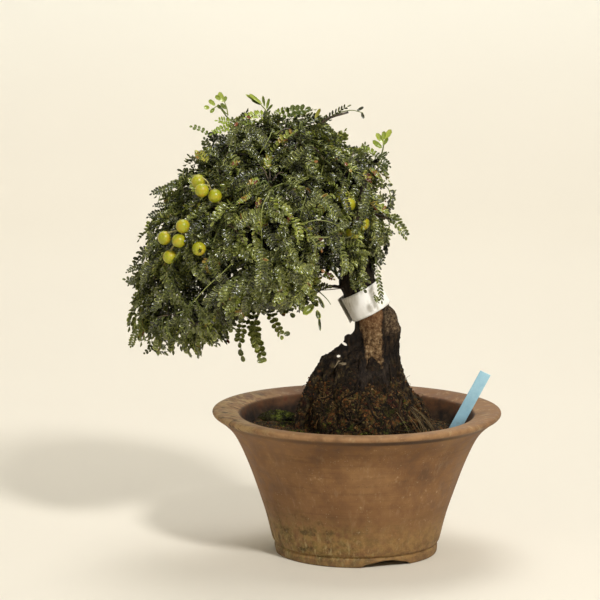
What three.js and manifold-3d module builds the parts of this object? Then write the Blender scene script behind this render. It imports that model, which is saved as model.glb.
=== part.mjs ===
// A small-leaved rose-family bonsai with yellow-green fruit, in a round unglazed pot.
// Millimetres, +Z up. Everything is built about the pot's axis, with z = 0 where the feet stand,
// and the whole is then moved so that the origin lies under the middle of its full width.
import * as THREE from 'three';
import { mergeVertices } from 'three/addons/utils/BufferGeometryUtils.js';
import Module from 'manifold-3d';

const wasm = await Module();
wasm.setup();

// Driving dimensions
const SEAT_GAP = 0.3;
const POT_AXIS_X = 34.5;
const POT_SEGMENTS = 36;
const RIM_RADIUS = 110.5;
const POT_HEIGHT = 110.5;
const FOOT_RADIUS = 62.2;
const FOOT_INNER_RADIUS = 50;
const FOOT_RECESS = 6.5;
const FLOOR_TOP = 15;
const DRAIN_RADIUS = 11;
const FOOT_ARCHES = 3;
const ARCH_WIDTH = 39;
const ARCH_HEIGHT = 5.2;
const ARCH_FIRST_ANGLE = -68.5;

const GRIT_DEPTH = 9;
const SOIL_LEVEL = 93;
const SOIL_TILT = 2.5;
const SOIL_CROWN = 1.5;
const NET_SIDE = 31;
const NET_THICKNESS = 1;
const NET_PITCH = 5.8;
const NET_OPENING = 4.4;
const NET_ROWS = 5;
const WIRE_RADIUS = 0.75;
const WIRE_REACH = 22;
const WIRE_SIDES = 6;
const WIRE_STEPS = 20;

const MOUND_BASE = 60;
const MOUND_TOP = 160;
const ROOT_COUNT = 9;
const FIRST_ROOT_ANGLE = 38;
const TRUNK_SIDES = 12;
const LIMB_SIDES = 6;

const BAND_WIDTH = 20;
const BAND_THICKNESS = 0.6;
const BAND_RADIUS = 15.4;
const BAND_TURNS = 1.12;
const BAND_STEPS = 30;
const BAND_END_ANGLE = 184;
const BAND_STANDOFF = 3.2;
const BAND_LOOSE_SHARE = 0.1;
const BAND_CENTRE = new THREE.Vector3(6, 0, 194);
const BAND_AXIS = new THREE.Vector3(-0.474, 0, 0.88);

const LABEL_WIDTH = 9.5;
const LABEL_THICKNESS = 1;
const LABEL_LENGTH = 96;
const LABEL_POINT = 12;
const LABEL_TOP = new THREE.Vector3(98.2, 0, 138.2);
const LABEL_LEAN = new THREE.Vector3(0.466, 0, 0.885);
const LABEL_TURN = 20;

const BERRY_RADIUS = 5;
const PEDICEL_RADIUS = 0.7;

const CROWN_CENTRE = new THREE.Vector3(-70.6, 0, 243.5);
const CROWN_DEPTH = 86;
const SHOOT_COUNT = 27;
const CROWN_UNDERSIDE = -0.72;
const GOLDEN_ANGLE = 2.39996;
const SHOOT_PHASE = 0.55;
const SHOOT_DEPTH_SHARE = 0.7;
const SHOOT_BOW_AT = 0.55;
const SHOOT_BOW_RISE = 8;
const TWIG_RADIUS = 1.6;
const TWIG_SIDES = 4;
const TWIG_STEPS = 4;
const FROND_LENGTH = 27;
const YOUNG_FROND_LENGTH = 14;
const FROND_WIDTH = 9;
const FROND_THICKNESS = 0.8;
const FRONDS_PER_SHOOT = 5;
const FIRST_FROND_AT = 0.4;
const LAST_FROND_AT = 0.97;
const FROND_TRIES = 4;
const FROND_TRY_TURN = 1.7;
const FROND_REACH = 20;

const v = (x, y, z) => new THREE.Vector3(x, y, z);
const wave = (value) => Math.sin(value);
const radians = (degrees) => THREE.MathUtils.degToRad(degrees);

const materials = {
  pot: new THREE.MeshStandardMaterial({ color: 0x7b5a3e, roughness: 0.8, metalness: 0 }),
  net: new THREE.MeshStandardMaterial({ color: 0x1d1f1e, roughness: 0.6, metalness: 0 }),
  wire: new THREE.MeshStandardMaterial({ color: 0xa9a9a4, roughness: 0.4, metalness: 0.9 }),
  grit: new THREE.MeshStandardMaterial({ color: 0x8a7a66, roughness: 0.95, metalness: 0 }),
  soil: new THREE.MeshStandardMaterial({ color: 0x231a13, roughness: 0.95, metalness: 0 }),
  moss: new THREE.MeshStandardMaterial({ color: 0x4f6326, roughness: 0.95, metalness: 0 }),
  bark: new THREE.MeshStandardMaterial({ color: 0x4a3a2c, roughness: 0.9, metalness: 0 }),
  paper: new THREE.MeshStandardMaterial({ color: 0xe8e6e2, roughness: 0.7, metalness: 0 }),
  label: new THREE.MeshStandardMaterial({ color: 0xa9d3e6, roughness: 0.4, metalness: 0 }),
  stalk: new THREE.MeshStandardMaterial({ color: 0x7d7a34, roughness: 0.6, metalness: 0 }),
  berry: new THREE.MeshStandardMaterial({ color: 0xa9b52a, roughness: 0.35, metalness: 0 }),
  leaf: new THREE.MeshStandardMaterial({ color: 0x33491f, roughness: 0.4, metalness: 0 }),
  youngLeaf: new THREE.MeshStandardMaterial({ color: 0x8faa35, roughness: 0.4, metalness: 0 }),
};

// Solids from three.js geometry
function toSolid(geometry) {
  const bare = new THREE.BufferGeometry();
  bare.setAttribute('position', geometry.getAttribute('position'));
  if (geometry.index) {
    bare.setIndex(geometry.index);
  }
  const merged = mergeVertices(bare, 1e-3);
  const mesh = new wasm.Mesh({
    numProp: 3,
    vertProperties: merged.getAttribute('position').array,
    triVerts: new Uint32Array(merged.index.array),
  });
  return new wasm.Manifold(mesh);
}

function toGeometry(solid) {
  const mesh = solid.getMesh();
  const geometry = new THREE.BufferGeometry();
  geometry.setAttribute('position', new THREE.BufferAttribute(mesh.vertProperties, 3));
  geometry.setIndex(new THREE.BufferAttribute(mesh.triVerts, 1));
  geometry.computeVertexNormals();
  return geometry;
}

function moveVertices(geometry, move) {
  const position = geometry.getAttribute('position');
  const point = new THREE.Vector3();
  for (let i = 0; i < position.count; i += 1) {
    point.fromBufferAttribute(position, i);
    move(point);
    position.setXYZ(i, point.x, point.y, point.z);
  }
  return geometry;
}

function lathe(profile, segments) {
  const points = profile.map(([radius, height]) => new THREE.Vector2(radius, height));
  return new THREE.LatheGeometry(points, segments).rotateX(Math.PI / 2);
}

function interpolate(stops, at) {
  const last = stops.length - 1;
  const place = THREE.MathUtils.clamp(at, 0, 1) * last;
  const index = Math.min(Math.floor(place), last - 1);
  return THREE.MathUtils.lerp(stops[index], stops[index + 1], place - index);
}

// A round tube along a curve through the points, whose radius follows the list of radii.
function tube(points, radii, sides, steps) {
  const curve = new THREE.CatmullRomCurve3(points);
  const thread = 0.1;
  const ring = new THREE.Shape();
  for (let i = 0; i < sides; i += 1) {
    const angle = (i / sides) * 2 * Math.PI;
    const x = thread * Math.cos(angle);
    const y = thread * Math.sin(angle);
    if (i === 0) {
      ring.moveTo(x, y);
    } else {
      ring.lineTo(x, y);
    }
  }
  const geometry = new THREE.ExtrudeGeometry(ring, { steps, extrudePath: curve });
  const stations = curve.getSpacedPoints(steps);
  return moveVertices(geometry, (point) => {
    let nearest = 0;
    stations.forEach((station, i) => {
      if (station.distanceTo(point) < stations[nearest].distanceTo(point)) {
        nearest = i;
      }
    });
    const radius = interpolate(radii, nearest / steps);
    point.sub(stations[nearest]).multiplyScalar(radius / thread).add(stations[nearest]);
  });
}

function fatTube(points, radii, sides, steps) {
  return tube(points, radii.map((radius) => radius + SEAT_GAP), sides, steps);
}

function joined(geometries) {
  return geometries.map(toSolid).reduce((whole, solid) => whole.add(solid));
}

// Cutting can leave a crumb apart from the piece, which is dropped.
function largestPiece(solid) {
  return solid.decompose().reduce((best, piece) => (piece.volume() > best.volume() ? piece : best));
}

function node(name, geometry, material) {
  const mesh = new THREE.Mesh(geometry, material);
  mesh.name = name;
  return mesh;
}

// Pot: a thrown bowl with a flared lip, a foot ring and a drain hole
const innerWall = [
  [56, FLOOR_TOP],
  [60, 18.5],
  [65.5, 40],
  [72, 58.8],
  [79.6, 77.5],
  [84.6, 89],
  [87.4, 98],
  [89.2, 107.2],
];

const outerWall = [
  [97, 109.4],
  [104, POT_HEIGHT],
  [108.8, 110],
  [RIM_RADIUS, 107.6],
  [109, 104.9],
  [106.5, 103.2],
  [102.3, 100.6],
  [96.6, 95.9],
  [93.1, 91.4],
  [89.4, 84.4],
  [82.5, 68.2],
  [75.7, 49.4],
  [69.3, 30.5],
  [65, 14],
  [63.6, 8.6],
  [61.2, 7.2],
  [62.8, 5.4],
  [FOOT_RADIUS, 0],
];

function footArch() {
  const half = ARCH_WIDTH / 2;
  const shoulder = half * 0.62;
  const outline = new THREE.Shape();
  outline.moveTo(-half, -1);
  outline.lineTo(-half, 0);
  outline.quadraticCurveTo(-half, ARCH_HEIGHT * 0.55, -shoulder, ARCH_HEIGHT * 0.6);
  outline.quadraticCurveTo(-shoulder * 0.75, ARCH_HEIGHT, 0, ARCH_HEIGHT);
  outline.quadraticCurveTo(shoulder * 0.75, ARCH_HEIGHT, shoulder, ARCH_HEIGHT * 0.6);
  outline.quadraticCurveTo(half, ARCH_HEIGHT * 0.55, half, 0);
  outline.lineTo(half, -1);
  const settings = { depth: 40, bevelEnabled: false, curveSegments: 3 };
  const cutter = new THREE.ExtrudeGeometry(outline, settings);
  return cutter.rotateX(Math.PI / 2).rotateZ(Math.PI / 2);
}

function makePot() {
  const underside = [
    [FOOT_INNER_RADIUS, 0],
    [FOOT_INNER_RADIUS - 1.5, FOOT_RECESS],
    [DRAIN_RADIUS, FOOT_RECESS],
    [DRAIN_RADIUS, FLOOR_TOP],
  ];
  const loop = [...underside, ...innerWall, ...outerWall, underside[0]];
  let pot = toSolid(lathe(loop.reverse(), POT_SEGMENTS));
  for (let i = 0; i < FOOT_ARCHES; i += 1) {
    const cutter = footArch();
    cutter.translate(FOOT_INNER_RADIUS - 8, 0, 0);
    cutter.rotateZ(radians(ARCH_FIRST_ANGLE + (360 / FOOT_ARCHES) * i));
    pot = pot.subtract(toSolid(cutter));
  }
  return node('pot', toGeometry(pot), materials.pot);
}

function insideRadius(height) {
  const above = innerWall.findIndex(([, z]) => z > height);
  const [r0, z0] = innerWall[above - 1];
  const [r1, z1] = innerWall[above];
  return THREE.MathUtils.mapLinear(height, z0, z1, r0, r1) - SEAT_GAP;
}

// Drain net over the hole, the wire that holds it, and the coarse grit on it
const netBottom = FLOOR_TOP + SEAT_GAP;
const netTop = netBottom + NET_THICKNESS;
const gritTop = FLOOR_TOP + GRIT_DEPTH;

function makeNet() {
  let net = toSolid(new THREE.BoxGeometry(NET_SIDE, NET_SIDE, NET_THICKNESS));
  const middle = (NET_ROWS - 1) / 2;
  for (let i = 0; i < NET_ROWS * NET_ROWS; i += 1) {
    const opening = new THREE.BoxGeometry(NET_OPENING, NET_OPENING, 2 * NET_THICKNESS);
    const column = (i % NET_ROWS) - middle;
    const row = Math.floor(i / NET_ROWS) - middle;
    net = net.subtract(toSolid(opening.translate(column * NET_PITCH, row * NET_PITCH, 0)));
  }
  const sheet = toGeometry(net).translate(0, 0, netBottom + NET_THICKNESS / 2);
  return node('drain_net', sheet, materials.net);
}

function wirePath() {
  const leg = NET_PITCH;
  const under = FOOT_RECESS - SEAT_GAP - WIRE_RADIUS;
  const over = netTop + SEAT_GAP + WIRE_RADIUS;
  return [
    v(-WIRE_REACH, 0, under),
    v(-leg - 3, 0, under),
    v(-leg, 0, under + 2),
    v(-leg, 0, over - 2),
    v(-leg + 2, 0, over),
    v(leg - 2, 0, over),
    v(leg, 0, over - 2),
    v(leg, 0, under + 2),
    v(leg + 3, 0, under),
    v(WIRE_REACH, 0, under),
  ];
}

function makeWire() {
  const wire = tube(wirePath(), [WIRE_RADIUS, WIRE_RADIUS], WIRE_SIDES, WIRE_STEPS);
  return node('drain_wire', wire, materials.wire);
}

function makeGrit() {
  const bottom = FLOOR_TOP + SEAT_GAP;
  const bed = lathe([
    [0, bottom],
    [insideRadius(FLOOR_TOP + 1) - 1, bottom],
    [insideRadius(18.5), 18.5],
    [insideRadius(gritTop), gritTop],
    [0, gritTop],
  ], POT_SEGMENTS);
  const netSpace = new THREE.BoxGeometry(NET_SIDE + 1, NET_SIDE + 1, 2 * NET_THICKNESS + 1);
  netSpace.translate(0, 0, netTop - NET_THICKNESS);
  const wireSpace = fatTube(wirePath(), [WIRE_RADIUS, WIRE_RADIUS], WIRE_SIDES, WIRE_STEPS);
  const grit = toSolid(bed).subtract(toSolid(netSpace)).subtract(toSolid(wireSpace));
  return node('drainage_grit', toGeometry(grit), materials.grit);
}

// Mound of root-bound soil that the trunk stands on: each ring's radius, its height and its middle
const moundRings = [
  [62, 84, 7],
  [54, 92, 7],
  [47, 104, 6],
  [41.5, 116, 4],
  [36, 126, 1.5],
  [31.5, 136, 1],
  [25, 147, 3.5],
  [19, 155, 6.5],
  [13, MOUND_TOP, 8],
];

function moundAt(height) {
  const above = Math.max(1, moundRings.findIndex(([, z]) => z >= height - SEAT_GAP));
  const [r0, z0, x0] = moundRings[above - 1];
  const [r1, z1, x1] = moundRings[above];
  return {
    radius: THREE.MathUtils.mapLinear(height, z0, z1, r0, r1),
    middle: THREE.MathUtils.mapLinear(height, z0, z1, x0, x1),
  };
}

function lumpiness(angle, height) {
  return 1 + 0.05 * wave(3 * angle) + 0.035 * wave(7 * angle + height / 9);
}

function onMound(angle, height, proud) {
  const ring = moundAt(height);
  const radius = ring.radius * lumpiness(angle, height) + proud;
  return v(ring.middle + radius * Math.cos(angle), radius * Math.sin(angle), height);
}

// The wood: trunk, roots and limbs, grown as one piece
const trunk = {
  points: [
    v(14, 0, 82), v(16, 0, 120), v(15, -1, 157), v(16, -1, 171), v(13, -1, 182), v(6, 0, 194),
    v(0, 0, 205), v(-1, 0, 220), v(-1, 1, 236), v(-3, 2, 252), v(-6, 3, 268), v(-12, 3, 286),
    v(-28, 2, 302), v(-52, 0, 309), v(-78, -3, 306),
  ],
  radii: [17, 17, 16.5, 16, 15, 14.2, 14, 13.4, 12.4, 11, 9.5, 8, 6, 4.4, 2.6],
};

const limbs = [
  { points: [v(-3, 0, 256), v(-22, -22, 268), v(-50, -38, 270), v(-84, -46, 260), v(-116, -44, 240)],
    radii: [6, 5.4, 4.4, 3.2, 2] },
  { points: [v(-6, 4, 270), v(-25, 26, 280), v(-55, 44, 276), v(-90, 50, 260), v(-120, 46, 238)],
    radii: [6, 5.4, 4.4, 3.2, 2] },
  { points: [v(-1, -2, 244), v(-24, -10, 252), v(-48, -16, 244), v(-60, -18, 222), v(-70, -18, 196)],
    radii: [6, 5.4, 4.6, 3.6, 2.2] },
  { points: [v(-10, 4, 280), v(-50, 8, 286), v(-92, 6, 274), v(-128, 4, 250), v(-146, 0, 220)],
    radii: [6, 5, 4, 3, 2] },
  { points: [v(-6, 0, 272), v(2, -22, 282), v(3, -44, 280), v(-2, -60, 262)],
    radii: [5, 3.8, 2.8, 1.8] },
  { points: [v(-8, 4, 280), v(4, 24, 288), v(6, 44, 284), v(0, 60, 264)],
    radii: [5, 3.8, 2.8, 1.8] },
  { points: [v(-9, 2, 280), v(6, 0, 294), v(17, -6, 304)],
    radii: [4, 2.8, 1.6] },
  { points: [v(-28, 2, 302), v(-60, -14, 318), v(-90, -18, 327)],
    radii: [4.4, 3, 1.6] },
  { points: [v(-40, 2, 306), v(-62, 26, 316), v(-88, 38, 308)],
    radii: [4, 2.8, 1.6] },
  { points: [v(-48, 0, 308), v(-60, 2, 322), v(-67, 0, 331)],
    radii: [3, 2, 1.4] },
  { points: [v(-8, -2, 203), v(-20, -9, 206), v(-30, -14, 203)],
    radii: [2.2, 1.5, 1.2] },
];

const archRoot = {
  points: [
    v(4, -4, 170), v(-6, -5, 161), v(-14, -5, 155), v(-23, -6, 148), v(-31, -7, 136),
    v(-38, -8, 120), v(-43, -9, 102), v(-47, -10, 84),
  ],
  radii: [6, 4.4, 4, 4.6, 5, 5, 4.6, 4],
};

const buttress = {
  points: [
    v(16, -2, 190), v(24, -2, 178), v(25, -2, 168), v(23, -2, 157), v(27, -3, 145),
    v(31.5, -4, 131), v(38, -5, 119), v(47, -6, 108), v(54, -7, 96), v(57, -7, 84),
  ],
  radii: [6, 8.4, 9, 8.4, 7, 6.2, 5.6, 5.2, 4.6, 4],
};

const knob = { centre: v(-5.5, -6, 164), radius: 4.8 };

function root(index) {
  const angle = radians(FIRST_ROOT_ANGLE + (360 / ROOT_COUNT) * index + 9 * wave(5 * index));
  const top = MOUND_TOP + 5 * wave(3 * index + 1);
  const points = [v(13 + 7 * Math.cos(angle), 7 * Math.sin(angle), top)];
  [150, 138, 124, 108, 94, 84].forEach((height, i) => {
    const sway = radians(7 * wave(2 * i + 3 * index));
    points.push(onMound(angle + sway, height, -0.5));
  });
  const thick = 4.6 + 1.2 * wave(7 * index);
  return { points, radii: [thick + 1.5, thick + 0.5, thick, thick - 0.6, thick - 1, thick - 1.4, 2.4] };
}

function woodTubes(makeTube) {
  const tubes = [makeTube(trunk.points, trunk.radii, TRUNK_SIDES, 24)];
  tubes.push(makeTube(archRoot.points, archRoot.radii, LIMB_SIDES, 10));
  tubes.push(makeTube(buttress.points, buttress.radii, 8, 11));
  for (let i = 0; i < ROOT_COUNT; i += 1) {
    const { points, radii } = root(i);
    tubes.push(makeTube(points, radii, 5, 7));
  }
  limbs.forEach(({ points, radii }) => {
    tubes.push(makeTube(points, radii, LIMB_SIDES, points.length + 2));
  });
  return tubes;
}

function makeKnob(radius) {
  return new THREE.SphereGeometry(radius, 8, 6).translate(knob.centre.x, knob.centre.y, knob.centre.z);
}

const wood = joined([...woodTubes(tube), makeKnob(knob.radius)]);
const woodSpace = joined([...woodTubes(fatTube), makeKnob(knob.radius + SEAT_GAP)]);

// Label stake standing in the soil
function labelBlank(margin) {
  const half = LABEL_WIDTH / 2 + margin;
  const outline = new THREE.Shape();
  outline.moveTo(-half, margin);
  outline.lineTo(-half, -LABEL_LENGTH + LABEL_POINT);
  outline.lineTo(0, -LABEL_LENGTH - margin);
  outline.lineTo(half, -LABEL_LENGTH + LABEL_POINT);
  outline.lineTo(half, margin);
  const depth = LABEL_THICKNESS + 2 * margin;
  const blank = new THREE.ExtrudeGeometry(outline, { depth, bevelEnabled: false });
  blank.translate(0, 0, -depth / 2);
  const lean = new THREE.Quaternion().setFromUnitVectors(v(0, 0, 1), LABEL_LEAN.clone().normalize());
  blank.rotateX(Math.PI / 2).rotateZ(radians(LABEL_TURN)).applyQuaternion(lean);
  return blank.translate(LABEL_TOP.x, LABEL_TOP.y, LABEL_TOP.z);
}

function makeSoil() {
  const bottom = gritTop + SEAT_GAP;
  const edge = SOIL_LEVEL;
  const bed = lathe([
    [0, bottom],
    [insideRadius(bottom), bottom],
    [insideRadius(40), 40],
    [insideRadius(58.8), 58.8],
    [insideRadius(77.5), 77.5],
    [insideRadius(edge - SOIL_TILT), edge],
    [70, edge + SOIL_CROWN / 2],
    [0, edge + SOIL_CROWN],
  ], POT_SEGMENTS);
  moveVertices(bed, (point) => {
    if (point.z > edge - SEAT_GAP) {
      point.z -= (SOIL_TILT * point.x) / insideRadius(edge);
    }
  });
  const rings = moundRings.map(([radius, height]) => [radius, height]);
  const heap = lathe([[0, MOUND_BASE], ...rings, [0, MOUND_TOP]], POT_SEGMENTS / 2);
  moveVertices(heap, (point) => {
    const swell = lumpiness(Math.atan2(point.y, point.x), point.z);
    point.set(point.x * swell + moundAt(point.z).middle, point.y * swell, point.z);
  });
  const whole = toSolid(bed).add(toSolid(heap));
  const cut = whole.subtract(woodSpace).subtract(toSolid(labelBlank(SEAT_GAP)));
  const soil = largestPiece(cut);
  return { solid: soil, mesh: node('soil', toGeometry(soil), materials.soil) };
}

// Moss cushion on the soil
const moss = { centre: v(-61, 34, 96), size: v(15, 12, 5) };

function makeMoss(soilSpace) {
  const cushion = new THREE.SphereGeometry(1, 12, 8).scale(moss.size.x, moss.size.y, moss.size.z);
  moveVertices(cushion, (point) => {
    point.multiplyScalar(1 + 0.07 * wave(point.x * 0.9) * wave(point.y * 1.1));
    point.add(moss.centre);
  });
  const solid = toSolid(cushion).subtract(soilSpace).subtract(woodSpace);
  return node('moss_cushion', toGeometry(largestPiece(solid)), materials.moss);
}

// Paper band wound round the trunk, its outer end standing off to the left
function makeBand() {
  const outside = [];
  const inside = [];
  for (let i = 0; i <= BAND_STEPS; i += 1) {
    const along = i / BAND_STEPS;
    const angle = radians(BAND_END_ANGLE - 360 * BAND_TURNS * (1 - along));
    const loose = Math.max(0, along - 1 + BAND_LOOSE_SHARE) / BAND_LOOSE_SHARE;
    const radius = BAND_RADIUS + (BAND_THICKNESS + SEAT_GAP) * along + BAND_STANDOFF * loose;
    const direction = new THREE.Vector2(Math.cos(angle), Math.sin(angle));
    inside.push(direction.clone().multiplyScalar(radius));
    outside.push(direction.clone().multiplyScalar(radius + BAND_THICKNESS));
  }
  const outline = new THREE.Shape([...outside, ...inside.reverse()]);
  const strip = new THREE.ExtrudeGeometry(outline, { depth: BAND_WIDTH, bevelEnabled: false });
  strip.translate(0, 0, -BAND_WIDTH / 2);
  const lean = new THREE.Quaternion().setFromUnitVectors(v(0, 0, 1), BAND_AXIS.clone().normalize());
  strip.applyQuaternion(lean).translate(BAND_CENTRE.x, BAND_CENTRE.y, BAND_CENTRE.z);
  const solid = toSolid(strip).subtract(woodSpace);
  return node('trunk_band', toGeometry(solid), materials.paper);
}

// Fruit, in three corymbs on branched stalks
const corymbs = [
  { name: 'fruit_stalk_upper_left', from: v(-88, -45, 258), fork: v(-108, -54, 276),
    berries: [v(-119, -56, 290), v(-116, -66, 284.5), v(-106.5, -63, 280)] },
  { name: 'fruit_stalk_lower_left', from: v(-112, -44, 243), fork: v(-126, -54, 249),
    berries: [
      v(-130, -66, 258), v(-144, -56, 248), v(-133, -65, 247), v(-118, -72, 242), v(-140, -58, 234),
    ] },
  { name: 'fruit_stalk_right', from: v(1, -32, 282), fork: v(-4, -38, 268),
    berries: [
      v(-12, -42, 278), v(-8, -51, 272.5), v(-13, -43, 263), v(3, -36, 257), v(-5, -42, 251),
    ] },
];

function corymbTubes({ from, fork, berries }, margin, reach) {
  const stem = PEDICEL_RADIUS + margin;
  const tubes = [tube([from, from.clone().lerp(fork, 0.5).add(v(0, -2, 2)), fork], [1 + margin, stem], 4, 3)];
  berries.forEach((berry) => {
    const end = berry.clone().lerp(fork, (BERRY_RADIUS + SEAT_GAP) / berry.distanceTo(fork));
    const start = fork.clone().lerp(end, -0.04);
    tubes.push(tube([start, end.lerp(berry, reach)], [stem, stem], 4, 1));
  });
  return tubes;
}

// The crown's outline seen from the front, as radii every so many degrees from the right
const crownOutline = [
  [0, 100], [30, 107], [45, 104], [71, 105], [90, 96], [110, 98], [130, 85], [154, 89],
  [180, 93], [197, 107], [220, 132], [238, 115], [270, 96], [291, 75], [315, 71], [336, 92], [360, 100],
];

function crownRadius(angle) {
  const degrees = THREE.MathUtils.euclideanModulo(THREE.MathUtils.radToDeg(angle), 360);
  const above = Math.max(1, crownOutline.findIndex(([at]) => at >= degrees));
  const [a0, r0] = crownOutline[above - 1];
  const [a1, r1] = crownOutline[above];
  return THREE.MathUtils.mapLinear(degrees, a0, a1, r0, r1);
}

function onCrown(direction, inset) {
  const radius = crownRadius(Math.atan2(direction.z, direction.x)) - inset;
  const spread = v(direction.x * radius, direction.y * (CROWN_DEPTH - inset), direction.z * radius);
  return spread.add(CROWN_CENTRE);
}

function nearestOnLimbs(target) {
  let best = null;
  limbs.slice(0, -1).concat([{ points: trunk.points.slice(9) }]).forEach(({ points }) => {
    const curve = new THREE.CatmullRomCurve3(points);
    for (let i = 2; i <= 16; i += 1) {
      const place = curve.getPoint(i / 16);
      if (!best || place.distanceTo(target) < best.distanceTo(target)) {
        best = place;
      }
    }
  });
  return best;
}

function spreadShoot(index) {
  const height = THREE.MathUtils.lerp(1, CROWN_UNDERSIDE, (index + 0.5) / SHOOT_COUNT);
  const across = Math.sqrt(1 - height * height);
  const around = GOLDEN_ANGLE * index + SHOOT_PHASE;
  const direction = v(across * Math.cos(around), across * Math.sin(around), height);
  const tip = onCrown(direction, FROND_REACH);
  const from = nearestOnLimbs(CROWN_CENTRE.clone().lerp(tip, SHOOT_DEPTH_SHARE));
  const bow = from.clone().lerp(tip, SHOOT_BOW_AT).add(v(0, 0, SHOOT_BOW_RISE));
  const name = `shoot_${String(index + 1).padStart(2, '0')}`;
  return { name, path: [from, bow, tip], young: false };
}

// Shoots placed by hand: the bright new tips, the long arching ones and the low spray
const placedShoots = [
  { name: 'new_tip_left', path: [v(-89, -18, 327), v(-98, -20, 334), v(-104, -23, 342)], young: true },
  { name: 'new_tip_middle', path: [v(-66.5, 0, 330), v(-69, -1, 337), v(-74, -2, 343)], young: true },
  { name: 'new_tip_right', path: [v(16.5, -6, 303.5), v(18, -8, 309), v(21, -10, 315)], young: true },
  { name: 'arching_shoot_top', path: [v(-40, -5, 310), v(-26, -10, 331), v(-8, -12, 338)], young: false },
  { name: 'arching_shoot_right', path: [v(-2, -8, 262), v(12, -20, 262), v(24, -26, 259)], young: false },
  { name: 'low_spray', path: [v(-29, -13.5, 203), v(-38, -18, 201), v(-42, -19, 190)], young: false },
  { name: 'drooping_shoot_left', path: [v(-138, 2, 236), v(-156, -6, 206), v(-160, -10, 182)], young: false },
  { name: 'drooping_shoot_low', path: [v(-69, -16, 199), v(-74, 2, 186), v(-80, 10, 170)], young: false },
];

function kite(length, margin) {
  const half = FROND_WIDTH / 2 + margin;
  const belly = length * 0.45;
  const corners = [[-margin, 0], [belly, -half], [length + margin, 0], [belly, half]];
  return new THREE.Shape(corners.map(([x, y]) => new THREE.Vector2(x, y)));
}

function frond({ base, along, facing, length }, margin) {
  const depth = FROND_THICKNESS + 2 * margin;
  const blade = new THREE.ExtrudeGeometry(kite(length, margin), { depth, bevelEnabled: false });
  const across = new THREE.Vector3().crossVectors(facing, along).normalize();
  const upward = new THREE.Vector3().crossVectors(along, across);
  const turn = new THREE.Matrix4().makeBasis(along, across, upward).setPosition(base);
  return blade.translate(0, 0, -depth / 2).applyMatrix4(turn);
}

function frondPlace({ path, young }, index, turn) {
  const curve = new THREE.CatmullRomCurve3(path);
  const at = THREE.MathUtils.lerp(FIRST_FROND_AT, LAST_FROND_AT, index / (FRONDS_PER_SHOOT - 1));
  const base = curve.getPoint(at);
  const tangent = curve.getTangent(at);
  const outward = base.clone().sub(CROWN_CENTRE).normalize();
  const side = new THREE.Vector3().crossVectors(tangent, outward).normalize();
  const other = new THREE.Vector3().crossVectors(side, tangent).normalize();
  const along = side.multiplyScalar(Math.cos(turn)).addScaledVector(other, Math.sin(turn));
  along.addScaledVector(outward, young ? 0.4 : 0.9).addScaledVector(tangent, 0.5);
  along.add(v(0, 0, young ? 0.7 : -0.35)).normalize();
  return { base, along, facing: outward, length: young ? YOUNG_FROND_LENGTH : FROND_LENGTH };
}

// A shoot's fronds keep clear of the wood, the fruit and the shoots made before it.
const taken = [];

function keepsClear(geometry, others) {
  const solid = toSolid(geometry);
  return others.every((other) => other.intersect(solid).isEmpty());
}

function makeShoot(shoot) {
  const radii = [TWIG_RADIUS, TWIG_RADIUS * 0.6];
  let solid = toSolid(tube(shoot.path, radii, TWIG_SIDES, TWIG_STEPS)).subtract(woodSpace);
  const space = [toSolid(fatTube(shoot.path, radii, TWIG_SIDES, TWIG_STEPS))];
  for (let i = 0; i < FRONDS_PER_SHOOT; i += 1) {
    const places = [];
    for (let attempt = 0; attempt < FROND_TRIES; attempt += 1) {
      places.push(frondPlace(shoot, i, GOLDEN_ANGLE * i + FROND_TRY_TURN * attempt));
    }
    const place = places.find((candidate) => keepsClear(frond(candidate, 0), [woodSpace, ...taken]));
    if (place) {
      solid = solid.add(toSolid(frond(place, 0)));
      space.push(toSolid(frond(place, SEAT_GAP)));
    }
  }
  taken.push(...space);
  const material = shoot.young ? materials.youngLeaf : materials.leaf;
  return node(shoot.name, toGeometry(largestPiece(solid)), material);
}

const tree = new THREE.Group();
const soil = makeSoil();
tree.add(makePot(), makeNet(), makeWire(), makeGrit(), soil.mesh);

const soilSpace = soil.solid.translate([0, 0, SEAT_GAP]);
tree.add(makeMoss(soilSpace));
tree.add(node('tree_wood', toGeometry(wood), materials.bark));
tree.add(makeBand());
tree.add(node('plant_label', labelBlank(0), materials.label));

let berryCount = 0;
corymbs.forEach((corymb) => {
  const stalk = joined(corymbTubes(corymb, 0, 0)).subtract(woodSpace);
  tree.add(node(corymb.name, toGeometry(stalk), materials.stalk));
  taken.push(joined(corymbTubes(corymb, SEAT_GAP, 0.1)));
  corymb.berries.forEach((centre) => {
    berryCount += 1;
    const berry = new THREE.SphereGeometry(BERRY_RADIUS, 8, 6);
    const name = `berry_${String(berryCount).padStart(2, '0')}`;
    tree.add(node(name, berry.translate(centre.x, centre.y, centre.z), materials.berry));
    const space = new THREE.SphereGeometry(BERRY_RADIUS + SEAT_GAP, 8, 6);
    taken.push(toSolid(space.translate(centre.x, centre.y, centre.z)));
  });
});

placedShoots.forEach((shoot) => tree.add(makeShoot(shoot)));
for (let i = 0; i < SHOOT_COUNT; i += 1) {
  tree.add(makeShoot(spreadShoot(i)));
}

tree.position.x = POT_AXIS_X;
const plant = new THREE.Group();
plant.add(tree);

export default plant;
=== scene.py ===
import math
import random

import bmesh
import bpy
from mathutils import Euler, Matrix, Vector, noise
from mathutils.bvhtree import BVHTree


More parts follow.
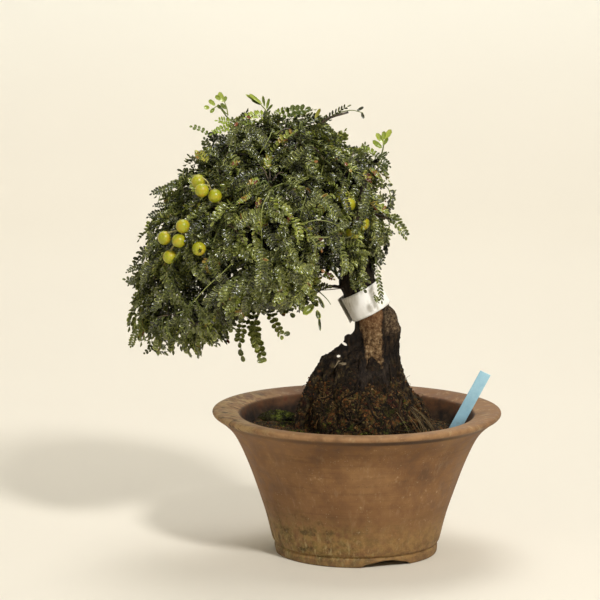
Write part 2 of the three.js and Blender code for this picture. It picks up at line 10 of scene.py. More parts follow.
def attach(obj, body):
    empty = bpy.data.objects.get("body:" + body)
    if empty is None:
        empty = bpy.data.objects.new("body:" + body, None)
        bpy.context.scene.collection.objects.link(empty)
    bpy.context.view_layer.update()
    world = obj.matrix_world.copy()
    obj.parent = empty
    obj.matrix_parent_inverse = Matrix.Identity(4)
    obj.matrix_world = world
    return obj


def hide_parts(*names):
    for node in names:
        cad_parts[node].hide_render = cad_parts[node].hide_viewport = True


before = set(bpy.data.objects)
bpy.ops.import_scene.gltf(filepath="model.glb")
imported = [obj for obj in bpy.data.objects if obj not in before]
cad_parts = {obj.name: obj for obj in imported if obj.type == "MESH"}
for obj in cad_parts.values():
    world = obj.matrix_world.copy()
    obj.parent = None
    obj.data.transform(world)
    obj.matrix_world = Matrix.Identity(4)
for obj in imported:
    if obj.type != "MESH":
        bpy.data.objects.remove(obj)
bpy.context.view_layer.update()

# Settings are in millimetres from the pot's axis, with z = 0 on the floor, and spot() turns them into metres.
mm = 0.001
potAxis = 34.5
up = Vector((0, 0, 1))
goldenAngle = 2.39996


def spot(x, y, z):
    return Vector(((potAxis + x) * mm, y * mm, z * mm))


def colour(red, green, blue):
    # a colour as seen on a screen, 0 to 255, made linear for the shaders
    parts = [value / 255 for value in (red, green, blue)]
    return [p / 12.92 if p <= 0.04045 else ((p + 0.055) / 1.055) ** 2.4 for p in parts] + [1]


def between(low, high, share):
    return low + (high - low) * share


def clamp(value, low=0.0, high=1.0):
    return max(low, min(high, value))


def asMesh(name, bm):
    # the bmesh turned into a mesh
    mesh = bpy.data.meshes.new(name)
    bm.to_mesh(mesh)
    bm.free()
    return mesh


def shown(name, data):
    # an object of the scene
    thing = bpy.data.objects.new(name, data)
    bpy.context.collection.objects.link(thing)
    return thing


def only(kind, items):
    # the vertices, edges or faces among what an operator made
    return [item for item in items if isinstance(item, getattr(bmesh.types, kind))]


# Camera, lamps and backdrop

view = {
    "from": (-43.7, -2144.2, 507.6),
    "down": 8.324,
    "roll": 0.219,
    "lens": 170.9,
}

lamps = [
    {"name": "key", "from": (680, -1500, 1520), "size": 320, "power": 36, "colour": (1, 0.985, 0.955)},
    {"name": "fill", "from": (-1400, -1400, 1000), "size": 800, "power": 3.5, "colour": (1, 0.98, 0.95)},
    {"name": "top", "from": (0, 300, 1900), "size": 900, "power": 8, "colour": (1, 0.99, 0.97)},
    {"name": "backdrop glow", "from": (0, 1500, 3000), "to": (0, 3300, 900), "size": 2000, "power": 62,
     "colour": (1, 0.985, 0.97)},
]

room = {
    "radius": 3300,
    "height": 4200,
    "bend": 1100,
    "sky": (1, 0.97, 0.92),
    "skyPower": 0.12,
    "lampsAim": (-30, 0, 180),
}


def makeCamera():
    data = bpy.data.cameras.new("camera")
    data.lens = view["lens"]
    camera = shown("camera", data)
    tilt = Euler((math.radians(90 - view["down"]), 0, 0)).to_matrix().to_4x4()
    roll = Matrix.Rotation(math.radians(view["roll"]), 4, "Z")
    camera.matrix_world = Matrix.Translation(spot(*view["from"])) @ tilt @ roll
    bpy.context.scene.camera = camera


def makeLamps():
    for lamp in lamps:
        data = bpy.data.lights.new(lamp["name"], "AREA")
        data.shape = "DISK"
        data.size = lamp["size"] * mm
        data.energy = lamp["power"]
        data.color = lamp["colour"]
        light = shown(lamp["name"], data)
        light.location = spot(*lamp["from"])
        aim = spot(*lamp.get("to", room["lampsAim"]))
        light.rotation_euler = (aim - light.location).to_track_quat("-Z", "Y").to_euler()
    world = bpy.data.worlds.new("room light")
    world.use_nodes = True
    sky = world.node_tree.nodes["Background"].inputs
    sky["Color"].default_value = (*room["sky"], 1)
    sky["Strength"].default_value = room["skyPower"]
    bpy.context.scene.world = world
    bpy.context.scene.view_settings.view_transform = "Standard"


makeCamera()
makeLamps()
print("camera and lamps set")


# Shader writing: a Shade wraps one socket, and sums of shades add their Math nodes


class Shade:
    def __init__(self, recipe, socket):
        self.recipe = recipe
        self.socket = socket

    def maths(self, operation, other, swapped=False):
        pair = [other, self] if swapped else [self, other]
        return self.recipe.add("ShaderNodeMath", {"operation": operation}, pair)

    def __add__(self, other):
        return self.maths("ADD", other)

    def __radd__(self, other):
        return self.maths("ADD", other, True)

    def __sub__(self, other):
        return self.maths("SUBTRACT", other)

    def __rsub__(self, other):
        return self.maths("SUBTRACT", other, True)

    def __mul__(self, other):
        return self.maths("MULTIPLY", other)

    def __rmul__(self, other):
        return self.maths("MULTIPLY", other, True)

    def most(self, other):
        return self.maths("MAXIMUM", other)

    def absolute(self):
        return self.recipe.add("ShaderNodeMath", {"operation": "ABSOLUTE"}, [self])


class Recipe:
    def __init__(self, name, **fixed):
        self.material = bpy.data.materials.new(name)
        self.material.use_nodes = True
        self.tree = self.material.node_tree
        self.shader = self.tree.nodes["Principled BSDF"]
        for socket, value in fixed.items():
            self.shader.inputs[socket.replace("_", " ")].default_value = value

    def add(self, kind, settings=None, inputs=(), out=0):
        node = self.tree.nodes.new(kind)
        for key, value in (settings or {}).items():
            if key == "stops":
                ramp = node.color_ramp
                while len(ramp.elements) < len(value):
                    ramp.elements.new(0.5)
                for element, (position, tint) in zip(ramp.elements, value):
                    element.position = position
                    element.color = tint
            else:
                setattr(node, key, value)
        pairs = inputs.items() if isinstance(inputs, dict) else enumerate(inputs)
        for key, value in pairs:
            if isinstance(value, Shade):
                self.tree.links.new(value.socket, node.inputs[key])
            else:
                node.inputs[key].default_value = value
        return Shade(self, node.outputs[out])

    def vector(self, operation, inputs, out=0):
        return self.add("ShaderNodeVectorMath", {"operation": operation}, inputs, out)

    def place(self, scale=(1, 1, 1), shift=(-potAxis * mm, 0, 0)):
        # object coordinates from the pot's axis
        moved = self.vector("ADD", [self.add("ShaderNodeTexCoord", out="Object"), shift])
        return self.vector("MULTIPLY", [moved, scale])

    def parts(self, vector):
        first = self.add("ShaderNodeSeparateXYZ", None, [vector])
        return [Shade(self, output) for output in first.socket.node.outputs]

    def attribute(self, name, out="Color"):
        return self.add("ShaderNodeAttribute", {"attribute_name": name}, out=out)

    def noise(self, at, size, detail=3, roughness=0.55):
        # size is the width of one lump, in millimetres
        values = {"Vector": at, "Scale": 1 / (size * mm), "Detail": detail, "Roughness": roughness}
        return self.add("ShaderNodeTexNoise", None, values)

    def spots(self, at, size, start, end, detail=5, roughness=0.7):
        # patches of about that size: 0 where the noise is under start, 1 where it is past end
        return self.fade(self.noise(at, size, detail, roughness), start, end)

    def cells(self, at, size, out="Distance"):
        return self.add("ShaderNodeTexVoronoi", None, {"Vector": at, "Scale": 1 / (size * mm)}, out)

    def fade(self, value, start, end, low=0.0, high=1.0):
        values = {"Value": value, "From Min": start, "From Max": end, "To Min": low, "To Max": high}
        return self.add("ShaderNodeMapRange", {"interpolation_type": "SMOOTHSTEP"}, values)

    def ramp(self, value, *stops):
        # each stop is a position and a colour as seen on a screen
        stops = [(position, colour(*tint)) for position, *tint in stops]
        return self.add("ShaderNodeValToRGB", {"stops": stops}, [value])

    def mix(self, first, second, share):
        # the second may be a colour as seen on a screen
        second = colour(*second) if isinstance(second, tuple) else second
        return self.add("ShaderNodeMix", {"data_type": "RGBA"}, {0: share, 6: first, 7: second}, 2)

    def coats(self, base, *layers):
        # colours laid over the base one after another, each with the share that covers
        for tint, share in layers:
            base = self.mix(base, tint, share)
        return base

    def bump(self, height, distance, strength, under=None):
        values = {"Strength": strength, "Distance": distance * mm, "Height": height}
        if under:
            values["Normal"] = under
        return self.add("ShaderNodeBump", None, values)

    def finish(self, **sockets):
        for socket, shade in sockets.items():
            self.tree.links.new(shade.socket, self.shader.inputs[socket.replace("_", " ")])
        return self.material


# Mesh helpers


def settle(name, bm, materials, replaces=(), smooth=True):
    # turns a bmesh into a finished piece that rides on the body
    for face in bm.faces:
        face.smooth = smooth
    piece = shown(name, asMesh(name, bm))
    for material in materials:
        piece.data.materials.append(material)
    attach(piece, "root")
    if replaces:
        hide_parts(*replaces)
    return piece


def nodeCopy(name):
    bm = bmesh.new()
    bm.from_mesh(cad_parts[name].data)
    bmesh.ops.remove_doubles(bm, verts=bm.verts[:], dist=0.01 * mm)
    return bm


def evaluated(bm, kind, **settings):
    # the bmesh as one modifier leaves it
    blank = shown("raw", asMesh("raw", bm))
    step = blank.modifiers.new("step", kind)
    for key, value in settings.items():
        setattr(step, key, value)
    graph = bpy.context.evaluated_depsgraph_get()
    result = bpy.data.meshes.new_from_object(blank.evaluated_get(graph))
    fresh = bmesh.new()
    fresh.from_mesh(result)
    for mesh in (blank.data, result):
        bpy.data.meshes.remove(mesh)
    return fresh


def remeshed(bm, voxel, smoothing=1):
    # one closed skin of even quads over everything in the bmesh
    fresh = evaluated(bm, "REMESH", mode="VOXEL", voxel_size=voxel * mm)
    for turn in range(smoothing):
        bmesh.ops.smooth_vert(fresh, verts=fresh.verts[:], factor=0.5,
                              use_axis_x=True, use_axis_y=True, use_axis_z=True)
    return fresh


# Oval slots that can be looked through are cut along one line, from the front to the back
slot = {
    "axis": (0.014, 0.986, -0.163),
    "y": 5,
    "drop": 1.6,
    "length": 70,
    "sides": 16,
}


def carved(bm, slots):
    # the skin with slots cut through it: middle x and z, half sizes and slope in degrees
    cutter = bmesh.new()
    for x, z, long, wide, slope in slots:
        ahead = Vector((math.cos(math.radians(slope)), 0, math.sin(math.radians(slope))))
        place = basis(ahead, Vector(slot["axis"]), spot(x, slot["y"], z - slot["drop"]))
        bmesh.ops.create_cone(
            cutter, cap_ends=True, segments=slot["sides"], radius1=1, radius2=1, depth=1,
            matrix=place @ Matrix.Diagonal((long * mm, wide * mm, slot["length"] * mm, 1)))
    tool = shown("cutter", asMesh("cutter", cutter))
    fresh = evaluated(bm, "BOOLEAN", operation="DIFFERENCE", solver="EXACT", object=tool)
    bpy.data.meshes.remove(tool.data)
    return fresh


def curve(points, count):
    # evenly numbered points on a smooth line through the given ones
    ends = [points[0] * 2 - points[1]] + list(points) + [points[-1] * 2 - points[-2]]
    line = []
    for step in range(count):
        along = step / (count - 1) * (len(points) - 1)
        index = min(int(along), len(points) - 2)
        t = along - index
        a, b, c, d = ends[index:index + 4]
        bend = (a * -1 + b * 3 - c * 3 + d) * t ** 3 + (a * 2 - b * 5 + c * 4 - d) * t ** 2
        line.append((bend + (c - a) * t + b * 2) / 2)
    return line


def stamp(bm, mesh, matrix=None):
    # adds one copy of a small mesh and returns its vertices
    before = len(bm.verts)
    bm.from_mesh(mesh)
    bm.verts.ensure_lookup_table()
    made = bm.verts[before:]
    if matrix:
        for vert in made:
            vert.co = matrix @ vert.co
    return made


def merge(bm, part):
    # adds a bmesh to another and returns its new vertices
    mesh = asMesh("part", part)
    made = stamp(bm, mesh)
    bpy.data.meshes.remove(mesh)
    return made


def tube(bm, line, radii, sides, tone=None, value=None):
    # a round closed tube along a line, made by extruding a ring from point to point
    frames = []
    turn = None
    for i, point in enumerate(line):
        ahead = (line[min(i + 1, len(line) - 1)] - line[max(i - 1, 0)]).normalized()
        swing = ahead.to_track_quat("Z", "Y") if turn is None else last.rotation_difference(ahead) @ turn
        turn, last = swing, ahead
        share = i / (len(line) - 1) * (len(radii) - 1)
        index = min(int(share), len(radii) - 2)
        radius = between(radii[index], radii[index + 1], share - index)
        frames.append(Matrix.Translation(point) @ swing.to_matrix().to_4x4() @ Matrix.Scale(radius, 4))
    part = bmesh.new()
    bmesh.ops.create_circle(part, segments=sides, radius=1, matrix=frames[0])
    edges = first = part.edges[:]
    for previous, following in zip(frames, frames[1:]):
        grown = bmesh.ops.extrude_edge_only(part, edges=edges)["geom"]
        fresh = only("BMVert", grown)
        known = set(fresh)
        edges = [edge for edge in only("BMEdge", grown) if set(edge.verts) <= known]
        bmesh.ops.transform(part, matrix=following @ previous.inverted(), verts=fresh)
    bmesh.ops.edgeloop_fill(part, edges=first)
    bmesh.ops.edgeloop_fill(part, edges=edges)
    bmesh.ops.recalc_face_normals(part, faces=part.faces[:])
    made = merge(bm, part)
    if tone:
        for vert in made:
            vert[tone] = value


def basis(ahead, facing, at, size=1.0):
    # X along ahead, Z as near to facing as it can be
    side = facing.cross(ahead)
    if side.length < 1e-4:
        side = Vector((0, 1, 0)).cross(ahead)
    side.normalize()
    rise = ahead.cross(side)
    rows = Matrix((ahead, side, rise)).transposed().to_4x4()
    return Matrix.Translation(at) @ rows @ Matrix.Scale(size, 4)


def moveOut(bm, push):
    # moves every vertex along its normal by push(point), in millimetres
    bm.normal_update()
    moves = [vert.normal * (push(vert.co / mm, vert.normal) * mm) for vert in bm.verts]
    for vert, move in zip(bm.verts, moves):
        vert.co += move


# Pot: a thrown bowl with a flared lip, a foot ring with arches, and a drain hole

pot = {
    "profile": [
        (11, 6.5), (30, 6.5), (46, 6.5), (48.5, 6.3), (49.3, 3), (50, 0.5), (50.6, 0), (53, 0), (56, 0),
        (59.5, 0), (61.8, 0), (62.3, 0.6), (62.5, 2.6), (62.8, 5.2), (62.5, 6.4), (61.4, 7.1), (61.5, 7.8),
        (63.4, 8.5), (64.6, 11), (66.6, 20), (69.3, 30.5), (72.4, 40), (75.7, 49.4), (79, 59), (82.5, 68.2),
        (85.8, 76.3), (89.4, 84.4), (93.1, 91.4), (96.6, 95.9), (99.6, 98.8), (102.3, 101.2), (104.9, 103.2),
        (107.2, 104.8), (109, 105.9), (110.1, 107), (110.5, 108.3), (110.1, 109.5), (108.8, 110.3),
        (106.5, 110.5), (103, 110.4), (100, 110), (96.6, 109.2), (93, 108.2), (90.6, 107.4), (89.3, 106.6),
        (88.9, 105), (87.4, 98), (84.6, 89), (79.6, 77.5), (72, 58.8), (65.5, 40), (60, 18.8), (56.5, 15.2),
        (52, 15), (30, 15), (12, 15), (11.2, 14.6), (11, 12),
    ],
    "steps": 144,
    "arches": (-68.5, 51.5, 171.5),
    "archWidth": 39,
    "archHeight": 5.2,
    "archFlat": 0.62,       # the shares of an arch's width and height at its bracket-shaped shoulder
    "archShoulder": 0.6,
    "footInside": 45,
    "wobble": 0.5,          # the wall isn't quite round above the foot
    "wobbleFrom": 12,
    "wobbleRise": 60,
    "wobbleTurns": 1.6,
    "rim": 110,
    "sag": 1.2,             # the rim is this much lower at the front
    "sagFrom": 80,
    "sagRise": 25,
}


def archHeight(point):
    # how high the foot ring is cut away at this place
    half = pot["archWidth"] / 2
    flat = half * pot["archFlat"]
    shoulder = pot["archShoulder"]
    highest = 0
    for angle in pot["arches"]:
        ahead = Vector((math.cos(math.radians(angle)), math.sin(math.radians(angle)), 0))
        across = abs(ahead.cross(point).z)
        if ahead.dot(point) > 0 and across < half:
            if across < flat:
                share = shoulder + (1 - shoulder) * (1 - (across / flat) ** 2)
            else:
                share = shoulder * math.sqrt(1 - ((across - flat) / (half - flat)) ** 2)
            highest = pot["archHeight"] * share
    return highest


def makePot():
    bm = bmesh.new()
    verts = [bm.verts.new(Vector((radius, 0, height))) for radius, height in pot["profile"]]
    edges = [bm.edges.new((a, b)) for a, b in zip(verts, verts[1:] + verts[:1])]
    bmesh.ops.spin(bm, geom=verts + edges, cent=(0, 0, 0), axis=up, angle=2 * math.pi, steps=pot["steps"],
                   use_merge=True, use_duplicate=False)
    bmesh.ops.remove_doubles(bm, verts=bm.verts[:], dist=0.001)
    bmesh.ops.recalc_face_normals(bm, faces=bm.faces[:])
    for vert in bm.verts:
        point = vert.co
        if point.xy.length > pot["footInside"]:
            point.z = max(point.z, archHeight(point))
        if point.z > pot["wobbleFrom"]:
            angle = math.atan2(point.y, point.x)
            at = Vector((math.cos(angle), math.sin(angle), point.z / pot["wobbleRise"]))
            point.xy *= 1 + pot["wobble"] * noise.noise(at * pot["wobbleTurns"]) / pot["rim"]
            low = clamp((point.z - pot["sagFrom"]) / pot["sagRise"]) * clamp(-point.y / pot["rim"])
            point.z -= pot["sag"] * low
    place = Matrix.Translation(spot(0, 0, 0)) @ Matrix.Scale(mm, 4)
    bmesh.ops.transform(bm, matrix=place, verts=bm.verts[:])
    piece = settle("pot_body", bm, [clayMaterial()], ["pot"])
    rounding = piece.modifiers.new("rounding", "SUBSURF")
    rounding.levels = 1
    rounding.render_levels = 1


def clayMaterial():
    r = Recipe("brown clay", Specular_IOR_Level=0.35)
    at = r.place()
    x, y, z = r.parts(at)
    radius = r.vector("LENGTH", [r.place((1, 1, 0))], "Value")
    broad = r.noise(at, 45, 3, 0.5)
    blotch = r.noise(at, 9, 5, 0.6)
    grain = r.noise(at, 1.1, 3, 0.6)
    turning = r.noise(r.place((0.04, 0.04, 1)), 2.2, 4, 0.65)
    wall = r.fade(z, 0.012, 0.03) * r.fade(z, 0.1, 0.085)
    leftLow = r.fade(x, 0.03, -0.045, 0.3, 1)
    specks = r.fade(r.cells(at, 2.6), 0.2, 0.08) * r.spots(at, 14, 0.46, 0.6, 3, 0.55)
    pits = r.fade(r.cells(at, 3.4), 0.16, 0.06) * r.spots(at, 20, 0.5, 0.62, 2, 0.55)
    base = r.coats(
        r.ramp(broad * 0.55 + blotch * 0.45, (0.32, 94, 64, 37), (0.50, 123, 87, 53), (0.68, 145, 109, 70)),
        # faint turning lines, and pale water marks that run down the wall
        ((84, 57, 35), r.fade(turning, 0.48, 0.74, 0, 0.34)),
        ((158, 128, 92), r.spots(r.place((1, 1, 0.09)), 5, 0.54, 0.74, 4, 0.6) * 0.3 * wall),
        # the foot is darker and greyer, with green bloom, grime and pale lime streaks, most at the left
        ((96, 70, 46), r.fade(z, 0.032, 0.004, 0, 0.4)),
        ((116, 104, 54), r.fade(z, 0.046, 0.014) * r.spots(at, 6, 0.4, 0.6) * leftLow * 0.7),
        ((166, 130, 76), r.fade(z, 0.04, 0.016) * r.spots(at, 5, 0.38, 0.62, 5, 0.75) * 0.5),
        ((58, 48, 26), r.fade(z, 0.062, 0.02) * r.spots(at, 9, 0.48, 0.64) * leftLow * 0.8),
        ((178, 160, 112),
         r.spots(r.place((1, 1, 0.2)), 2.6, 0.52, 0.66) * r.fade(z, 0.032, 0.014) * leftLow * 0.62),
        # chalky patches, brushed marks, light specks and dark pits anywhere
        ((186, 164, 128), r.spots(at, 4.5, 0.6, 0.72, 5, 0.75) * r.spots(at, 30, 0.48, 0.56, 2, 0.55) * 0.6),
        ((170, 140, 100), r.spots(r.place((1, 1, 0.14)), 1.5, 0.54, 0.7, 5, 0.75)
         * r.spots(at, 18, 0.4, 0.6, 3, 0.55) * wall * 0.3),
        ((172, 146, 108), specks * 0.5),
        ((62, 40, 26), pits * 0.6))
    # the lip is paler, darker at the back and at the right, with lime
    lip = r.fade(z, 0.1035, 0.1055)
    left = r.fade(x, -0.05, -0.09) * lip
    under = r.fade(z, 0.1004, 0.1024) * r.fade(z, 0.1058, 0.104) * r.fade(radius, 0.1005, 0.1045)
    lipShadow = under * r.fade(x, -0.07, 0.0, 0.35, 1) * r.fade(x, 0.1, 0.05, 0.3, 1)
    base = r.coats(
        base,
        ((152, 116, 80), lip * r.fade(blotch, 0.35, 0.65, 0.35, 0.9)),
        ((98, 64, 42), lip * r.fade(y, 0.01, 0.06, 0, 0.62)),
        ((104, 72, 46), lip * r.fade(x, 0.07, 0.13, 0, 0.75)),
        ((182, 158, 118), r.spots(at, 6, 0.5, 0.72) * lip * 0.45),
        # pale and greenish patches and dark stains at its left
        ((166, 138, 94), left * r.spots(at, 11, 0.42, 0.56, 4, 0.6) * 0.8),
        ((122, 100, 62), left * r.spots(at, 7, 0.5, 0.6, 5, 0.65) * 0.4),
        ((62, 40, 22), left * r.spots(r.place((1, 2.2, 1), (0, 0, 0)), 9, 0.53, 0.66, 5, 0.62) * 0.95),
        # painted shadow: a dark line under the lip
        ((52, 35, 22), lipShadow * r.fade(broad, 0.3, 0.5, 0.5, 0.85)))
    # the inside wall is brown above and dark below a tide line, partly damp clay and partly painted shadow
    inside = r.fade(radius, 0.0912, 0.0897) * r.fade(radius - z * 0.35, 0.0578, 0.0564)
    inside = inside * r.fade(z, 0.015, 0.02)
    damp = r.ramp(r.noise(at, 7, 5, 0.65), (0.36, 18, 11, 7), (0.5, 40, 26, 16), (0.66, 68, 49, 32))
    upper = r.ramp(blotch, (0.35, 64, 40, 24), (0.55, 96, 64, 39), (0.7, 92, 44, 28))
    tide = z + (r.noise(at, 26, 3, 0.6) - 0.5) * 0.012 + x * 0.02
    base = r.coats(
        base,
        (r.mix(damp, upper, r.fade(tide, 0.097, 0.104)),
         inside * r.fade(z + blotch * 0.006, 0.1135, 0.109, 0.1, 1)),
        ((120, 92, 66), r.fade(z, 0.0066, 0.0006, 0, 0.3)))
    pores = r.bump(grain, 0.16, 0.5, r.bump(turning, 0.22, 0.4))
    dents = r.bump(pits * -1 + specks * 0.4, 0.25, 0.5, pores)
    return r.finish(Base_Color=base, Roughness=r.fade(blotch, 0.3, 0.7, 0.6, 0.82), Normal=dents)


makePot()
print("pot made")


# Soil bed and the mound of root-bound soil

soil = {
    "voxel": 1.5,
    "surface": 86,
    "lumps": 1.6,
    "lumpSize": 9,
    "crumbs": 0.8,
    "crumbSize": 2.6,
    "moundSwell": 2.3,      # the mound stands this far proud, so that most roots are half buried
    "moundFoot": 98,
    "moundTop": 140,
    "moundReach": 66,
    "ridge": {"z": 146, "left": 5, "right": 23, "back": 4.5},    # drawn back from the strip of bark's foot
    "grains": 3300,
    "grainSizes": (0.45, 1.35),
    "fibres": 520,
    "open": 0.137,          # crumbs lie below this height, in metres
    "seed": 11,
}
archHole = (-14, 151.5, 1.5, 1.0, 8)     # the slot under the arching root


def roughSoil(point, normal):
    # deep in the pot the bed stays plain, and its open surface is crumbly
    share = clamp((point.z - soil["surface"]) / 6) * clamp(normal.z + 0.9)
    lumps = noise.fractal(point / soil["lumpSize"], 0.9, 2.1, 3) * soil["lumps"]
    crumbs = (0.5 - noise.voronoi(point / soil["crumbSize"])[0][0]) * soil["crumbs"] * 2
    reach = soil["moundReach"] - math.hypot(point.x - potAxis, point.y)
    mound = clamp((point.z - soil["moundFoot"]) / 6) * clamp((soil["moundTop"] - point.z) / 10)
    return share * (lumps + crumbs) + mound * clamp(reach / 6) * soil["moundSwell"]


def makeSoil():
    bm = remeshed(nodeCopy("soil"), soil["voxel"])
    moveOut(bm, roughSoil)
    bm = carved(bm, [archHole])
    ridge = soil["ridge"]
    for vert in bm.verts:
        x, z = vert.co.x / mm - potAxis, vert.co.z / mm
        if vert.co.y < 0:
            share = clamp((x - ridge["left"]) / 2) * clamp((ridge["right"] - x) / 2)
            vert.co.y += ridge["back"] * mm * clamp((z - ridge["z"]) / 2.5) * share
    tree = BVHTree.FromBMesh(bm)
    settle("soil_bed", bm, [soilMaterial()], ["soil"])
    return tree


def earthPatches(r, at, base):
    # patches of red-brown, olive, orange and green a few crumbs wide, and damp dark ones
    tint = r.ramp(
        r.noise(at, 8, 3, 0.65), (0.36, 68, 28, 18), (0.43, 26, 20, 14), (0.5, 88, 78, 38),
        (0.56, 120, 68, 32), (0.62, 44, 54, 24), (0.7, 92, 38, 24))
    base = r.mix(base, tint, r.fade(r.noise(at, 4.5, 3, 0.6), 0.42, 0.58, 0, 0.6))
    return r.mix(base, (9, 7, 5), r.fade(r.noise(at, 12, 3, 0.6), 0.5, 0.6, 0, 0.75))


def earthColour(r, at):
    # dark crumbs with scattered reddish, olive and tan bits, and painted shade in the gaps between them
    patches = r.noise(at, 9, 4, 0.6)
    fine = r.noise(at, 1.3, 4, 0.7)
    kind = r.parts(r.cells(at, 2.3, "Color"))[0]
    edge = r.cells(at, 2.3)
    bits = r.ramp(
        kind, (0.0, 16, 10, 6), (0.2, 40, 27, 16), (0.4, 62, 45, 27), (0.54, 86, 65, 40), (0.62, 34, 26, 15),
        (0.7, 94, 50, 28), (0.77, 54, 36, 20), (0.84, 76, 72, 36), (0.9, 134, 106, 68), (0.95, 48, 46, 24),
        (1.0, 146, 96, 50))
    # painted shade: the gaps between the crumbs are near black
    bits = r.mix(bits, (6, 4, 3), r.fade(edge, 0.3, 0.5, 0, 0.95))
    bits = r.mix(bits, (16, 11, 7), r.fade(patches, 0.5, 0.62, 0, 0.85))
    bits = earthPatches(r, at, bits)
    return r.mix(bits, (150, 126, 88), r.fade(fine, 0.58, 0.7, 0, 0.6)), fine, edge


def soilMaterial():
    r = Recipe("damp soil", Specular_IOR_Level=0.15)
    at = r.place()
    z = r.parts(at)[2]
    base, fine, edge = earthColour(r, at)
    green = r.fade(r.noise(at, 12, 4, 0.6), 0.58, 0.68) * r.fade(z, 0.132, 0.1)
    base = r.mix(base, (70, 78, 26), green * r.fade(fine, 0.4, 0.6, 0.2, 0.8))
    # packed dark fibre at the top of the mound
    top = r.fade(z, 0.129, 0.139)
    streaks = r.noise(r.place((1, 1, 0.16)), 1.7, 4, 0.6)
    base = r.mix(base, r.ramp(streaks, (0.4, 13, 10, 8), (0.6, 38, 30, 23)), top * 0.85)
    rough = r.fade(fine, 0.3, 0.7, 0.7, 0.95)
    relief = r.bump(edge * -1 + fine, 1.0, 0.9)
    return r.finish(Base_Color=base, Roughness=rough, Normal=relief)


soilTree = makeSoil()
print("soil made")


# Moss: the cushion at the left, tufts on it, and loose patches on the soil and the mound

moss = {
    "centre": (-61, 34),
    "half": (15, 12),
    "above": 125,
    "voxel": 0.8,
    "lumps": 0.9,
    "lumpSize": 3.2,
    "crumbs": 0.8,
    "crumbSize": 2,
    "tuftHeight": 1.5,
    "tuftFoot": 0.32,
    "tuftTip": 0.04,
    "cushionTufts": 560,
    "patches": [  # middle x, y, z, radius, tufts
        (-50, 20, 96, 9, 150), (-55, 8, 96, 7, 90), (-44, -22, 98, 9, 120), (6, -50, 100, 8, 60),
        (36, -40, 106, 5, 60), (42, -36, 100, 6, 90), (38, -30, 121, 3.5, 40), (-24, -42, 106, 5, 80),
        (-36, -40, 100, 6, 50), (50, 22, 97, 8, 90), (-10, 52, 98, 10, 120), (-30, 44, 102, 7, 80),
    ],
    "seed": 5,
}


def lumpyMoss(point, normal):
    lumps = noise.fractal(point / moss["lumpSize"], 0.8, 2.2, 3) * moss["lumps"]
    return lumps + (0.5 - noise.voronoi(point / moss["crumbSize"])[0][0]) * moss["crumbs"]


def makeMoss():
    cushion = remeshed(nodeCopy("moss_cushion"), moss["voxel"])
    moveOut(cushion, lumpyMoss)
    cushionTree = BVHTree.FromBMesh(cushion)
    material = mossMaterial()
    settle("moss_mound", cushion, [material], ["moss_cushion"])

    spike = bmesh.new()
    bmesh.ops.create_cone(spike, cap_ends=True, cap_tris=True, segments=4, radius1=moss["tuftFoot"],
                          radius2=moss["tuftTip"], depth=1, matrix=Matrix.Translation((0, 0, 0.4)))
    spikeMesh = asMesh("spike", spike)
    dice = random.Random(moss["seed"])
    bm = bmesh.new()
    spots = []
    (cx, cy), (halfX, halfY) = moss["centre"], moss["half"]
    for i in range(moss["cushionTufts"]):
        angle, away = dice.uniform(0, 2 * math.pi), math.sqrt(dice.random())
        start = spot(cx + halfX * away * math.cos(angle), cy + halfY * away * math.sin(angle), moss["above"])
        spots.append(cushionTree.ray_cast(start, -up)[:2])
    for px, py, pz, radius, count in moss["patches"]:
        for i in range(count):
            angle, away = dice.uniform(0, 2 * math.pi), radius * dice.random()
            start = spot(px + away * math.cos(angle), py + away * math.sin(angle), pz)
            spots.append(soilTree.find_nearest(start)[:2])
    for hit, normal in spots:
        if hit:
            size = moss["tuftHeight"] * between(0.5, 1.15, dice.random()) * mm
            ahead = Vector((dice.uniform(-1, 1), dice.uniform(-1, 1), dice.uniform(-0.4, 0.4)))
            facing = (normal + up * 0.4 + ahead * 0.35).normalized()
            side = facing.orthogonal().normalized()
            stamp(bm, spikeMesh, basis(side, facing, hit, size))
    settle("moss_tufts", bm, [material])


def mossMaterial():
    r = Recipe("moss", Specular_IOR_Level=0.2)
    at = r.place()
    x = r.parts(at)[0]
    patch = r.noise(at, 4.5, 4, 0.6)
    fine = r.noise(at, 0.9, 3, 0.6)
    base = r.ramp(
        patch * 0.6 + fine * 0.4, (0.4, 18, 17, 8), (0.48, 52, 56, 20), (0.56, 104, 112, 40),
        (0.66, 172, 176, 84))
    base = r.mix(base, (34, 26, 14), r.fade(x + patch * 0.02, -0.05, -0.058, 0, 0.8))
    rough = r.fade(fine, 0.3, 0.7, 0.75, 0.95)
    return r.finish(Base_Color=base, Roughness=rough, Normal=r.bump(fine, 0.4, 0.6))


makeMoss()
print("moss made")


# Wood: trunk, limbs and old roots in one skin, with finer roots over the mound

